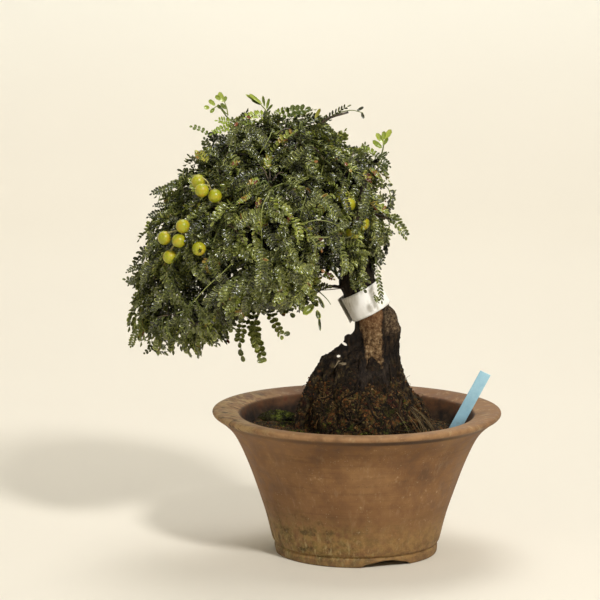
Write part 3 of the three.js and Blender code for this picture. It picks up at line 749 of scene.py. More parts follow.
wood = {
    "voxel": 1.1,
    "furrows": 0.9,
    "knobs": 0.5,
    "knobSize": 3.4,
    "grain": (0.42, 0.1),        # the furrows are long up the bark: scale across and along
    "folds": (146, 186),         # heights of the folds at both sides of the strip
    "foldWidths": (2.2, 4.2),    # of the left and the right one
    "foldDepth": 2.2,
    "stripTop": (9.6, 186),      # middle x and height of the clean bark strip at the front
    "stripFoot": (13, 148.5),
    "stripHalf": (9.6, 6.6),
    "archRoot": [(4, -4, 170), (-6, -5, 161), (-14, -5, 155), (-23, -6, 148), (-31, -7, 136), (-38, -8, 120),
                 (-43, -9, 102), (-47, -10, 84)],
    "buttress": [(16, -2, 190), (25, -2, 168), (23, -2, 157), (31.5, -4, 131), (47, -6, 108), (57, -7, 84)],
    "sunk": 1.5,                 # how far the other roots are drawn into the mound
    "knot": (-6.4, -6, 165.1),
    "knotRadius": 3.6,
    "notch": (-10.2, 161.3, 3.2, 0.95, -33),     # the slot between the knot and the root, as archHole
    "clear": [(-8.4, 172.5, 5.6), (-8.6, 180, 6.2)],   # x, z and radius that stay free left of the trunk
    "plateAngles": (-128, -18),
    "plateHeights": (125, 145),
    "flank": [(1.6, -3, 190), (0.9, -4.5, 178), (0.6, -5.5, 163)],  # a dark root down the left of the strip
    "flankRadius": 3.1,
    "plateProud": 1.6,
    "plateSheet": 3.4,
    "flutes": 17,                # the smaller, the wider
    "fluteDepth": 0.55,
    "seed": 21,
    "fineRoots": 40,
    "fineRootSizes": (0.35, 1.0),
    "fineRootStarts": (108, 150),
    "fineRootStops": (87, 108),
    "fineRootProud": (-1.6, 0.6),
    "hairs": 15,
    "hairAngle": (-0.42, 0.2),   # middle and spread, in radians from the right
    "hairStarts": (106, 116),
    "hairRise": 3.4,
    "hairRadii": (0.26, 0.22, 0.14),
    "rings": [  # radius, height and middle x of the mound
        (62, 84, 7), (54, 92, 7), (47, 104, 6), (41.5, 116, 4), (36, 126, 1.5), (31.5, 136, 1),
        (25, 147, 3.5), (19, 155, 6.5), (13, 160, 8),
    ],
}


def onMound(angle, height, proud):
    rings = wood["rings"]
    for (r0, z0, x0), (r1, z1, x1) in zip(rings, rings[1:]):
        if height <= z1:
            break
    share = (height - z0) / (z1 - z0)
    lump = 1 + 0.05 * math.sin(3 * angle) + 0.035 * math.sin(7 * angle + height / 9)
    radius = between(r0, r1, share) * lump + proud
    return spot(between(x0, x1, share) + radius * math.cos(angle), radius * math.sin(angle), height)


def stripAt(share):
    # middle x and half width of the clean strip of bark, from its foot to its top
    foot, top = wood["stripFoot"][0], wood["stripTop"][0]
    return between(foot, top, share), between(wood["stripHalf"][1], wood["stripHalf"][0], share)


def stripShare(point):
    # 1 on the strip at the front of the trunk, 0 away from it
    x, z = point.x - potAxis, point.z
    middle, half = stripAt(clamp((z - wood["stripFoot"][1]) / (wood["stripTop"][1] - wood["stripFoot"][1])))
    inside = clamp((half - abs(x - middle)) / 2 + 0.5) * clamp((-point.y - 2) / 4)
    return inside * clamp((z - 146) / 5) * clamp((200 - z) / 4)


def nearLine(point, line):
    # distance in millimetres from a point to a line of given places
    place = Vector((point.x - potAxis, point.y, point.z))
    best = 1000
    for a, b in zip(line, line[1:]):
        start, along = Vector(a), Vector(b) - Vector(a)
        share = clamp((place - start).dot(along) / along.length_squared)
        best = min(best, (place - start - along * share).length)
    return best


def roughBark(point, normal):
    low = clamp((176 - point.z) / 14)
    strip = stripShare(point)
    across, along = wood["grain"]
    stretched = Vector((point.x * across, point.y * across, point.z * along))
    furrow = noise.fractal(stretched, 0.8, 2.2, 4) * wood["furrows"] * between(0.55, 1.5, low)
    knob = noise.fractal(point / wood["knobSize"], 0.9, 2.1, 3) * wood["knobs"] * between(0.6, 1.3, low)
    calm = between(1, 0.32, strip)
    hollow = sink = 0
    if wood["folds"][0] < point.z < wood["folds"][1]:
        middle, half = stripAt(clamp((point.z - 149) / 38))
        offset = point.x - potAxis - middle
        width = wood["foldWidths"][0 if offset < 0 else 1]
        beside = abs(abs(offset) - half - width * 0.7)
        hollow = -wood["foldDepth"] * clamp(1.3 - beside / width) * clamp((-point.y - 1) / 4)
        hollow *= clamp((point.z - 148) / 6)
        hollow *= 0.2 if offset < 0 else clamp((180 - point.z) / 6)
    if point.z < 178:
        arch, side = nearLine(point, wood["archRoot"]), nearLine(point, wood["buttress"])
        calm *= between(0.5, 1, clamp((arch - 6) / 4))
        if point.z < 146:
            sink = wood["sunk"] * clamp((min(arch, side - 2) - 6) / 3) * clamp((146 - point.z) / 10)
    return (furrow + knob) * calm + hollow + 0.5 * strip - sink


def makePlate(bm):
    # the smooth fluted plate of grown-together roots under the strip
    plate = bmesh.new()
    bmesh.ops.create_grid(plate, x_segments=60, y_segments=16, size=0.5)
    for vert in plate.verts:
        angle = math.radians(between(*wood["plateAngles"], vert.co.x + 0.5))
        rise = vert.co.y + 0.5
        waver = 2 * noise.noise(Vector((angle * 4, rise, 0)))
        flute = wood["fluteDepth"] * math.sin(angle * wood["flutes"] + waver)
        ragged = 2.2 * noise.noise(Vector((angle * 6, 0, 5)))
        proud = wood["plateProud"] * clamp(rise * 2.6 + ragged - 0.3, -1.6, 1) + flute
        fade = clamp((0.5 - abs(vert.co.x)) * 8)
        fade *= clamp((1 - rise) * 7)
        vert.co = onMound(angle, between(*wood["plateHeights"], rise), between(-3, proud, fade))
    bmesh.ops.recalc_face_normals(plate, faces=plate.faces[:])
    bmesh.ops.solidify(plate, geom=plate.faces[:], thickness=wood["plateSheet"] * mm)
    merge(bm, plate)


def makeWood():
    bm = nodeCopy("tree_wood")
    makePlate(bm)
    flank = curve([spot(*point) for point in wood["flank"]], 9)
    thick = wood["flankRadius"] * mm
    for here, there in zip(flank, flank[1:]):
        ahead = (there - here).normalized()
        place = basis(up.cross(there - here).normalized(), ahead, (here + there) / 2)
        bmesh.ops.create_cone(bm, cap_ends=True, segments=16, radius1=thick, radius2=thick,
                              depth=(there - here).length * 1.5, matrix=place)
    bm = remeshed(bm, wood["voxel"], 2)
    moveOut(bm, roughBark)
    for vert in bm.verts:  # nothing bulges into the free space left of the trunk
        x, z = vert.co.x / mm - potAxis, vert.co.z / mm
        for cx, cz, radius in wood["clear"]:
            offset = Vector((x - cx, z - cz))
            if x < cx + radius and 0 < offset.length < radius:
                offset *= radius / offset.length
                vert.co.x, vert.co.z = (potAxis + cx + offset.x) * mm, (cz + offset.y) * mm
    bm = carved(bm, [archHole, wood["notch"]])
    knot = bmesh.new()
    bmesh.ops.create_icosphere(knot, subdivisions=4, radius=wood["knotRadius"] * mm)
    moveOut(knot, lambda point, normal: noise.fractal(point / 1.6, 0.9, 2.1, 3) * 0.35)
    bmesh.ops.transform(knot, matrix=Matrix.Translation(spot(*wood["knot"])), verts=knot.verts[:])
    merge(bm, knot)
    tree = BVHTree.FromBMesh(bm)
    settle("tree_trunk", bm, [barkMaterial()], ["tree_wood"])
    return tree


def makeFineRoots():
    dice = random.Random(wood["seed"])
    bm = bmesh.new()
    tone = bm.verts.layers.float_color.new("rootTone")
    for i in range(wood["fineRoots"]):
        angle = 2 * math.pi * (i + dice.random() * 0.7) / wood["fineRoots"]
        start, stop = dice.uniform(*wood["fineRootStarts"]), dice.uniform(*wood["fineRootStops"])
        phase, sway = dice.uniform(0, 6), dice.uniform(0.1, 0.4)
        line = []
        for step in range(9):
            share = step / 8
            turn = angle + sway * math.sin(phase + share * dice.uniform(3, 6))
            proud = soil["moundSwell"] + dice.uniform(*wood["fineRootProud"])
            line.append(onMound(turn, between(start, stop, share), proud))
        thick = between(*wood["fineRootSizes"], dice.random() ** 2) * mm
        radii = [thick, thick * 1.1, thick * 0.7, thick * 0.35]
        tube(bm, curve(line, 20), radii, 5, tone, (dice.random() * 0.45, 0, 0, 1))
    for i in range(wood["hairs"]):  # dry pale hairs low down at the right, bent over at the top
        angle = dice.gauss(*wood["hairAngle"])
        start = dice.uniform(*wood["hairStarts"])
        bend = dice.uniform(-0.1, 0.16)
        line = []
        for step in range(5):
            proud = soil["moundSwell"] + wood["hairRise"] * math.sin(step * 0.8) + dice.uniform(-0.4, 0.4)
            line.append(onMound(angle + bend * step / 4, start - 6 * step + step * step * 0.2, proud))
        radii = [radius * mm for radius in wood["hairRadii"]]
        tube(bm, curve(line, 14), radii, 4, tone, (dice.uniform(0.6, 0.85), 0, 0, 1))
    settle("fine_roots", bm, [rootMaterial()])


def barkMaterial():
    r = Recipe("bark and roots", Specular_IOR_Level=0.16)
    at = r.place()
    x, y, z = r.parts(at)
    patches = r.noise(at, 7, 4, 0.6)
    fine = r.noise(at, 1.3, 4, 0.65)
    grain = r.noise(r.place((1, 1, 0.22)), 1.8, 4, 0.65)
    dark = r.ramp(
        patches * 0.4 + grain * 0.6, (0.38, 7, 5, 4), (0.5, 24, 18, 13), (0.6, 50, 38, 26),
        (0.72, 88, 68, 46))
    # low down the roots carry the same crumbs as the mound
    earth, earthFine, earthEdge = earthColour(r, at)
    crumbs = r.fade(z, 0.131, 0.124) * r.spots(at, 7, 0.34, 0.5, 3, 0.6)
    crumbs = crumbs.most(r.fade(z, 0.152, 0.136) * r.spots(at, 5, 0.47, 0.56, 4, 0.65) * 0.75)
    base = r.mix(dark, earth, crumbs)
    moist = r.ramp(
        r.noise(r.place((1, 1, 0.35)), 2.4, 4, 0.65), (0.4, 10, 8, 6), (0.52, 48, 38, 26), (0.6, 88, 76, 50),
        (0.7, 58, 36, 24))
    base = r.mix(base, moist, r.fade(z, 0.158, 0.142) * r.fade(patches, 0.42, 0.58, 0, 0.8))
    # the fluted plate under the strip is smooth and almost black
    plate = r.fade(z, 0.127, 0.132) * r.fade(z, 0.152, 0.148)
    plate = plate * r.fade(x, -0.004, 0.002) * r.fade(y, -0.008, -0.014)
    flutes = r.noise(r.place((1, 1, 0.1)), 1.6, 3, 0.55)
    base = r.mix(base, r.ramp(flutes, (0.4, 17, 13, 12), (0.62, 52, 43, 37)), plate * 0.8)
    # limbs and upper trunk are greyer than the damp roots
    limb = r.ramp(
        patches * 0.5 + grain * 0.5, (0.34, 14, 11, 8), (0.5, 32, 25, 19), (0.65, 58, 46, 34),
        (0.8, 92, 76, 58))
    base = r.mix(base, limb, r.fade(z, 0.19, 0.21, 0, 0.85))
    # rough mid-brown bark on the buttress, right of the strip
    shoulder = r.fade(x, 0.0185, 0.022) * r.fade(z, 0.167, 0.174) * r.fade(y, 0.004, -0.002)
    rugged = r.ramp(
        r.noise(at, 1.9, 4, 0.7), (0.38, 30, 22, 15), (0.5, 72, 57, 42), (0.6, 104, 86, 64),
        (0.72, 146, 126, 98))
    base = r.mix(base, rugged, shoulder * 0.9)
    # the clean strip of bark
    rise = r.fade(z, 0.149, 0.187)
    ragged = (r.noise(at, 4, 3, 0.6) - 0.5) * 0.006
    middle = 0.013 - rise * 0.0034
    half = 0.0062 + rise * 0.003
    edge = half + ragged - (x - middle).absolute()
    strip = r.fade(edge, -0.0006, 0.0012) * r.fade(y, -0.003, -0.006) * r.fade(z + ragged, 0.1445, 0.147)
    strip = strip * r.fade(z, 0.206, 0.19)
    tan = r.ramp(
        r.noise(at, 2.6, 4, 0.65), (0.34, 44, 30, 17), (0.45, 88, 66, 43), (0.56, 122, 97, 68),
        (0.7, 162, 141, 108))
    pits = r.fade(r.cells(at, 2.7), 0.28, 0.12) * r.spots(at, 5, 0.42, 0.56, 2, 0.55)
    tan = r.mix(tan, (26, 16, 9), pits * 0.9)
    tan = r.mix(tan, (104, 66, 40), r.fade(z, 0.165, 0.186, 0, 0.45))
    base = r.mix(base, tan, strip)
    # a bleached line over the arching root
    away = (z - 0.1488 + r.fade(x, -0.0142, -0.0178, 0, 0.0045) + ragged * 0.15).absolute()
    pale = r.fade(away, 0.0009, 0.0005) * r.fade(x, -0.0182, -0.0172) * r.fade(x, -0.008, -0.0095)
    base = r.mix(base, (146, 130, 104), pale * r.fade(y, -0.006, -0.009) * 0.75)
    rough = r.fade(fine, 0.3, 0.7, 0.66, 0.94)
    relief = r.bump(grain * 0.7 + fine * 0.5 - pits * 0.5 - earthEdge * crumbs * 0.8, 0.9, 0.8)
    return r.finish(Base_Color=base, Roughness=rough, Normal=relief)


def rootMaterial():
    r = Recipe("fine roots", Specular_IOR_Level=0.15)
    shade = r.parts(r.attribute("rootTone"))[0]
    fleck = r.noise(r.place(), 1.4, 4, 0.65)
    base = r.ramp(
        shade * 0.75 + fleck * 0.3, (0.1, 14, 10, 7), (0.4, 40, 30, 20), (0.6, 78, 62, 42),
        (0.8, 124, 108, 78), (1.0, 160, 144, 110))
    rough = r.fade(fleck, 0.3, 0.7, 0.65, 0.9)
    return r.finish(Base_Color=base, Roughness=rough, Normal=r.bump(fleck, 0.3, 0.6))


woodTree = makeWood()
makeFineRoots()
print("wood made")


# Crumbs and short fibres lie on the open soil and on the roots of the mound


def scatter(count, seed, reach, drop):
    # random places where a ray from above or from the side lands: (point, normal, dice)
    dice = random.Random(seed)
    found = []
    while len(found) < count:
        angle = dice.uniform(0, 2 * math.pi)
        away = between(reach[0], reach[1], math.sqrt(dice.random()))
        lean = dice.random() < drop
        start = spot(away * math.cos(angle), away * math.sin(angle), 140)
        aim = Vector((-math.cos(angle), -math.sin(angle), -1.6)).normalized() if lean else Vector((0, 0, -1))
        hits = [tree.ray_cast(start, aim) for tree in (soilTree, woodTree)]
        hits = [hit for hit in hits if hit[0] and hit[0].z < soil["open"]]
        if hits:
            hit = min(hits, key=lambda one: one[3])
            if hit[1].z > -0.1:
                found.append((hit[0], hit[1], dice))
    return found


def makeGrains():
    pebble = bmesh.new()
    bmesh.ops.create_icosphere(pebble, subdivisions=1, radius=1)
    pebble.verts.layers.float_color.new("grainTone")
    mesh = asMesh("pebble", pebble)
    bm = bmesh.new()
    tone = bm.verts.layers.float_color.new("grainTone")
    for hit, normal, dice in scatter(soil["grains"], soil["seed"], (14, 88), 0.6):
        size = between(*soil["grainSizes"], dice.random() ** 2) * mm
        squash = Matrix.Diagonal((1, between(0.6, 1, dice.random()), between(0.45, 0.9, dice.random()), 1))
        ahead = Vector((dice.uniform(-1, 1), dice.uniform(-1, 1), dice.uniform(-1, 1))).normalized()
        made = stamp(bm, mesh, basis(ahead, normal, hit + normal * size * 0.1, size) @ squash)
        shade = dice.random()
        for vert in made:
            vert[tone] = (shade, dice.random(), 0, 1)
    for hit, normal, dice in scatter(soil["fibres"], soil["seed"] + 1, (14, 80), 0.7):
        ahead = Vector((dice.uniform(-1, 1), dice.uniform(-1, 1), dice.uniform(-1.4, 0.6)))
        ahead = (ahead - normal * ahead.dot(normal) + normal * 0.15).normalized() * dice.uniform(3, 8) * mm
        arch = normal * dice.uniform(0.3, 1.3) * mm
        line = curve([hit - normal * 0.4 * mm, hit + ahead * 0.5 + arch, hit + ahead - normal * 0.3 * mm], 5)
        thick = dice.uniform(0.16, 0.34) * mm
        tube(bm, line, [thick, thick * 0.7], 3, tone, (dice.choice((0.3, 0.5, 0.62, 0.72)), 0.5, 0, 1))
    settle("soil_grains", bm, [grainMaterial()], smooth=False)


def grainMaterial():
    r = Recipe("soil grains", Specular_IOR_Level=0.15)
    shade = r.parts(r.attribute("grainTone"))[0]
    base = r.ramp(
        shade, (0.0, 20, 14, 9), (0.4, 50, 36, 22), (0.6, 80, 60, 38), (0.74, 118, 92, 58), (0.8, 84, 44, 24),
        (0.88, 140, 82, 42), (0.93, 150, 126, 88), (0.97, 70, 72, 34), (1.0, 94, 94, 48))
    fleck = r.noise(r.place(), 0.6, 3, 0.6)
    base = r.mix(base, (12, 8, 5), r.fade(fleck, 0.46, 0.68, 0, 0.5))
    base = earthPatches(r, r.place(), base)
    rough = r.fade(fleck, 0.3, 0.7, 0.75, 0.95)
    return r.finish(Base_Color=base, Roughness=rough, Normal=r.bump(fleck, 0.25, 0.6))


makeGrains()
print("crumbs scattered")


# Paper band round the trunk, its outer end standing off

band = {
    "width": 20,
    "thickness": 0.45,
    "radius": 15.55,
    "turns": 1.12,
    "endAngle": 184,
    "standoff": 1.9,
    "loose": 0.1,
    "centre": (6, 0, 194),
    "axis": (-0.474, 0, 0.88),
}


def makeBand():
    bm = bmesh.new()
    bmesh.ops.create_grid(bm, x_segments=150, y_segments=12, size=0.5)
    lean = up.rotation_difference(Vector(band["axis"]).normalized()).to_matrix()
    for vert in bm.verts:
        along, across = vert.co.x + 0.5, vert.co.y
        angle = math.radians(band["endAngle"] - 360 * band["turns"] * (1 - along))
        loose = clamp((along - 1 + band["loose"]) / band["loose"])
        crease = 0.1 * noise.noise(Vector((along * 42, across * 1.4, 0)))
        slack = (1 + 2.2 * clamp(math.cos(angle + 0.5 - math.pi))) * crease
        radius = band["radius"] + 0.9 * along + band["standoff"] * loose + max(slack, -0.25)
        flare = 0.3 * (abs(across) * 2) ** 4 * noise.noise(Vector((along * 9, across, 3)))
        point = Vector((math.cos(angle), math.sin(angle), 0)) * (radius + flare)
        point.z = across * band["width"]
        vert.co = spot(*band["centre"]) + lean @ point * mm
    bmesh.ops.recalc_face_normals(bm, faces=bm.faces[:])
    piece = settle("paper_band", bm, [paperMaterial()], ["trunk_band"])
    sheet = piece.modifiers.new("sheet", "SOLIDIFY")
    sheet.thickness = band["thickness"] * mm
    sheet.offset = 0


def paperMaterial():
    r = Recipe("band paper", Specular_IOR_Level=0.3)
    at = r.place()
    creases = r.noise(r.place((1, 1, 0.12)), 1.5, 3, 0.6)
    fibre = r.noise(at, 0.5, 3, 0.6)
    grey = r.noise(at, 8, 3, 0.5)
    x = r.parts(at)[0]
    base = r.ramp(grey, (0.35, 232, 229, 222), (0.6, 246, 244, 240))
    # painted shade: the band's left part is darker and beige-grey, and darker still in its creases
    shadedLeft = r.fade(x, 0.0, -0.0085)
    base = r.mix(base, (196, 187, 166), shadedLeft * r.fade(creases, 0.35, 0.65, 0.35, 0.9))
    base = r.mix(base, (150, 141, 122), shadedLeft * r.fade(creases, 0.58, 0.7, 0, 0.6))
    rough = r.fade(fibre, 0.3, 0.7, 0.55, 0.75)
    return r.finish(Base_Color=base, Roughness=rough, Normal=r.bump(creases + fibre * 0.2, 0.25, 0.5))


makeBand()


# Label stake

label = {
    "width": 9.5,
    "thickness": 1,
    "length": 96,
    "point": 12,
    "top": (98.2, 0, 138.2),
    "lean": (0.466, 0, 0.885),
    "turn": 20,
    "edge": 0.22,
    "cut": -40,             # a loop of edges across the stake, from its top
}


def makeLabel():
    bm = bmesh.new()
    straight = label["length"] - label["point"]
    shape = Matrix.Diagonal((label["width"], label["thickness"], straight, 1))
    bmesh.ops.create_cube(bm, size=1, matrix=Matrix.Translation((0, 0, -straight / 2)) @ shape)
    foot = [face for face in bm.faces if face.normal.z < -0.5]
    tip = bmesh.ops.extrude_face_region(bm, geom=foot)["geom"]
    tipVerts = only("BMVert", tip)
    bmesh.ops.delete(bm, geom=foot, context="FACES_ONLY")
    for vert in tipVerts:
        vert.co.x *= 0.04
        vert.co.z -= label["point"]
    bmesh.ops.bevel(bm, geom=bm.edges[:], affect="EDGES", offset=label["edge"], segments=2, profile=0.5,
                    material=-1, clamp_overlap=True)
    bmesh.ops.bisect_plane(bm, geom=bm.verts[:] + bm.edges[:] + bm.faces[:], plane_co=(0, 0, label["cut"]),
                           plane_no=up)
    lean = up.rotation_difference(Vector(label["lean"]).normalized()).to_matrix().to_4x4()
    turn = Matrix.Rotation(math.radians(label["turn"]), 4, "Z")
    place = Matrix.Translation(spot(*label["top"])) @ lean @ turn @ Matrix.Scale(mm, 4)
    bmesh.ops.transform(bm, matrix=place, verts=bm.verts[:])
    bmesh.ops.recalc_face_normals(bm, faces=bm.faces[:])
    settle("label_stake", bm, [labelMaterial()], ["plant_label"], smooth=False)


def labelMaterial():
    r = Recipe("label plastic", Specular_IOR_Level=0.5)
    at = r.place()
    z = r.parts(at)[2]
    smear = r.noise(at, 6, 4, 0.6)
    base = r.ramp(smear, (0.35, 150, 196, 218), (0.65, 168, 212, 230))
    dirt = r.fade(z, 0.106, 0.094) * r.fade(smear, 0.35, 0.6, 0.35, 1)
    base = r.mix(base, (92, 76, 56), dirt * 0.75)
    scratches = r.noise(r.place((1, 1, 0.1)), 0.8, 3, 0.7)
    base = r.mix(base, (206, 228, 236), r.fade(scratches, 0.62, 0.75, 0, 0.5))
    rough = r.fade(smear, 0.3, 0.7, 0.32, 0.5)
    return r.finish(Base_Color=base, Roughness=rough, Normal=r.bump(scratches, 0.05, 0.4))


makeLabel()
print("band and label made")


# Fruit: berries with a dried calyx at the far end, on branched stalks

fruit = {
    "radius": 5.15,
    "stalk": (0.95, 0.75),
    "bow": 3.4,
    "tip": 0.55,            # radii where a berry's stalk is thinnest and where it meets the berry
    "foot": 0.8,
    "facing": 7,            # the berry that shows its eye
    "bunches": [
        {"name": "upper_left", "from": (-88, -45, 258), "fork": (-108, -54, 276),
         "berries": [(-119, -56, 290), (-116, -66, 284.5), (-106.5, -63, 280)]},
        {"name": "lower_left", "from": (-112, -44, 243), "fork": (-126, -54, 249),
         "berries": [
             (-130, -66, 258), (-144, -56, 248), (-133, -65, 247), (-118, -72, 242), (-140, -58, 234)]},
        {"name": "right", "from": (1, -32, 282), "fork": (-4, -38, 268),
         "berries": [(-12, -42, 278), (-8, -51, 272.5), (-13, -43, 263), (3, -36, 257), (-5, -42, 251)]},
    ],
    "seed": 31,
}


def makeBerry(number, centre, eye, materials, dice):
    bm = bmesh.new()
    bmesh.ops.create_uvsphere(bm, u_segments=20, v_segments=14, radius=1)
    for vert in bm.verts:
        height = vert.co.z
        swell = 1 + 0.025 * noise.noise(vert.co * 1.3 + Vector((number, 0, 0)))
        vert.co.xy *= swell * (1.0 - 0.05 * height)
        if height > 0.86:  # the eye of the fruit is sunk a little
            vert.co.z -= 0.16 * (height - 0.86) / 0.14
    skinFaces = len(bm.faces)
    for i in range(5):  # five dry sepals round the eye
        turn = Matrix.Rotation(2 * math.pi * (i + 0.3 * dice.random()) / 5, 4, "Z")
        tilt = Matrix.Rotation(math.radians(dice.uniform(35, 70)), 4, "Y")
        petal = turn @ Matrix.Translation((0.13, 0, 0.9)) @ tilt @ Matrix.Diagonal((0.5, 1, 1, 1))
        bmesh.ops.create_cone(bm, cap_ends=True, segments=5, radius1=0.13, radius2=0.02, depth=0.34,
                              matrix=petal @ Matrix.Translation((0, 0, 0.13)))
    bm.faces.ensure_lookup_table()
    for face in bm.faces[skinFaces:]:
        face.material_index = 1
    side = eye.orthogonal().normalized()
    bmesh.ops.transform(bm, matrix=basis(side, eye, centre, fruit["radius"] * mm), verts=bm.verts[:])
    name = f"berry_{number:02d}"
    settle("ripe_" + name, bm, materials, [name])


def makeFruit():
    dice = random.Random(fruit["seed"])
    stalk = stalkMaterial()
    skins = [berryMaterial(), sepalMaterial()]
    number = 0
    for bunch in fruit["bunches"]:
        root, fork = spot(*bunch["from"]), spot(*bunch["fork"])
        bm = bmesh.new()
        middle = root.lerp(fork, 0.5) + Vector((0, -2, 3)) * mm
        thick, thin = fruit["stalk"][0] * mm, fruit["stalk"][1] * mm
        tube(bm, curve([root, middle, fork], 9), [thick, thin], 8)
        for place in bunch["berries"]:
            number += 1
            centre = spot(*place)
            # the eye hangs down and away, and the stalk comes in at the other end
            eye = (centre - fork).normalized() * 0.35 + Vector((dice.uniform(-0.2, 0.2), 0.45, -0.85))
            if number == fruit["facing"]:
                eye = Vector((0.2, -0.95, -0.12))
            eye.normalize()
            foot = centre - eye * fruit["radius"] * 0.93 * mm
            bow = fork.lerp(foot, 0.6) - eye * fruit["bow"] * mm
            tube(bm, curve([fork, bow, foot], 10), [thin, fruit["tip"] * mm, fruit["foot"] * mm], 7)
            makeBerry(number, centre, eye, skins, dice)
        settle("stalks_" + bunch["name"], bm, [stalk], ["fruit_stalk_" + bunch["name"]])


def berryMaterial():
    r = Recipe("berry skin", Specular_IOR_Level=0.5, Subsurface_Weight=0.12, Subsurface_Scale=0.004)
    at = r.place()
    broad = r.noise(at, 6, 3, 0.5)
    dots = r.fade(r.cells(at, 1.5), 0.2, 0.1)
    base = r.ramp(broad, (0.3, 128, 138, 16), (0.5, 164, 162, 26), (0.68, 176, 154, 32))
    rust = r.fade(r.noise(at, 3.4, 4, 0.65), 0.62, 0.72) * r.fade(r.parts(at)[2], 0.27, 0.255)
    base = r.mix(base, (150, 84, 26), rust * 0.7)
    base = r.mix(base, (190, 192, 84), dots * 0.25)
    rough = r.fade(r.noise(at, 2), 0.3, 0.7, 0.3, 0.45)
    return r.finish(Base_Color=base, Roughness=rough, Normal=r.bump(dots, 0.08, 0.4))


def sepalMaterial():
    r = Recipe("dry sepals", Specular_IOR_Level=0.2)
    fleck = r.noise(r.place(), 0.8, 3, 0.6)
    base = r.ramp(fleck, (0.35, 38, 28, 16), (0.65, 92, 76, 38))
    return r.finish(Base_Color=base, Roughness=r.fade(fleck, 0.3, 0.7, 0.7, 0.9))


def stalkMaterial():
    r = Recipe("fruit stalks", Specular_IOR_Level=0.3)
    fleck = r.noise(r.place(), 2.4, 3, 0.6)
    base = r.ramp(fleck, (0.35, 124, 120, 62), (0.55, 166, 160, 104), (0.7, 156, 130, 82))
    fuzz = r.bump(r.noise(r.place(), 0.4, 2), 0.08, 0.5)
    return r.finish(Base_Color=base, Roughness=r.fade(fleck, 0.3, 0.7, 0.55, 0.8), Normal=fuzz)


makeFruit()
print("fruit made")


# Foliage: small shiny leaflets in pairs along bent fronds, and the fronds along twigs

leaf = {
    "sides": 7,
    "roundSides": 8,
    "innerSides": 4,
    "channel": 0.22,        # how deep a leaflet is folded, as a share of its length
    "thickness": 0.05,
    "raise": 27,            # how far the leaflets stand up from the frond, in degrees
    "fronds": {             # pairs, length, bend in degrees, leaflet length and width, splay in degrees
        "flat": (8, 31, 26, 5.2, 3.0, 72),
        "arched": (8, 30, 66, 5.0, 2.9, 74),
        "long": (12, 38, 34, 6.0, 2.3, 76),
        "hooked": (7, 27, 100, 4.9, 2.9, 74),
        "short": (5, 19, 40, 4.6, 2.9, 68),
        "lifted": (6, 23, -16, 4.8, 2.7, 68),
        "round": (5, 31, 36, 6.4, 4.8, 70),
        "sparse": (4, 24, 40, 4.2, 3.2, 64),
        "slim": (9, 34, 22, 4.8, 1.8, 44),
        "spray": (6, 40, 24, 6.4, 5.0, 62),
        "inner": (5, 30, 40, 7.6, 5.6, 70),
    },
    "rachis": 0.3,
}


def makeLeaflet(sides):
    # a thin closed blade one unit long and one wide, from its stalk at the origin along X, folded like a boat
    bm = bmesh.new()
    blade = bm.loops.layers.uv.new("blade")
    tone = bm.verts.layers.float_color.new("leafTone")
    bmesh.ops.create_circle(bm, cap_ends=True, cap_tris=True, segments=sides, radius=0.5)
    bmesh.ops.rotate(bm, cent=(0, 0, 0), matrix=Matrix.Rotation(math.pi / 2, 3, "Z"), verts=bm.verts[:])
    for face in bm.faces:
        if face.normal.z < 0:
            face.normal_flip()
        for loop in face.loops:
            loop[blade].uv = loop.vert.co.xy + Vector((0.5, 0.5))
    for vert in bm.verts:
        vert.co.y *= 1 + 0.3 * vert.co.x
        vert[tone] = (0, 0, 0, 0.5)
    middle = min(bm.verts, key=lambda vert: vert.co.length)
    middle.co.z = -leaf["channel"]
    middle[tone] = (0, 0, 0, 1)
    copied = bmesh.ops.duplicate(bm, geom=bm.verts[:] + bm.edges[:] + bm.faces[:])["geom"]
    bmesh.ops.reverse_faces(bm, faces=only("BMFace", copied))
    below = min(only("BMVert", copied), key=lambda vert: vert.co.z)
    below.co.z -= leaf["thickness"]
    below[tone] = (0, 0, 0, 0)
    bmesh.ops.remove_doubles(bm, verts=bm.verts[:], dist=0.001)
    bmesh.ops.translate(bm, vec=(0.5, 0, 0), verts=bm.verts[:])
    for face in bm.faces:
        face.smooth = True
    for edge in bm.edges:
        edge.smooth = edge.link_faces[0].normal.z * edge.link_faces[1].normal.z > 0
    return asMesh("leaflet", bm)


def frondEnd(length, bend):
    # where a frond's bent axis ends, along X and Z
    curl = math.radians(bend)
    return length * math.sin(curl) / curl, -length * (1 - math.cos(curl)) / curl


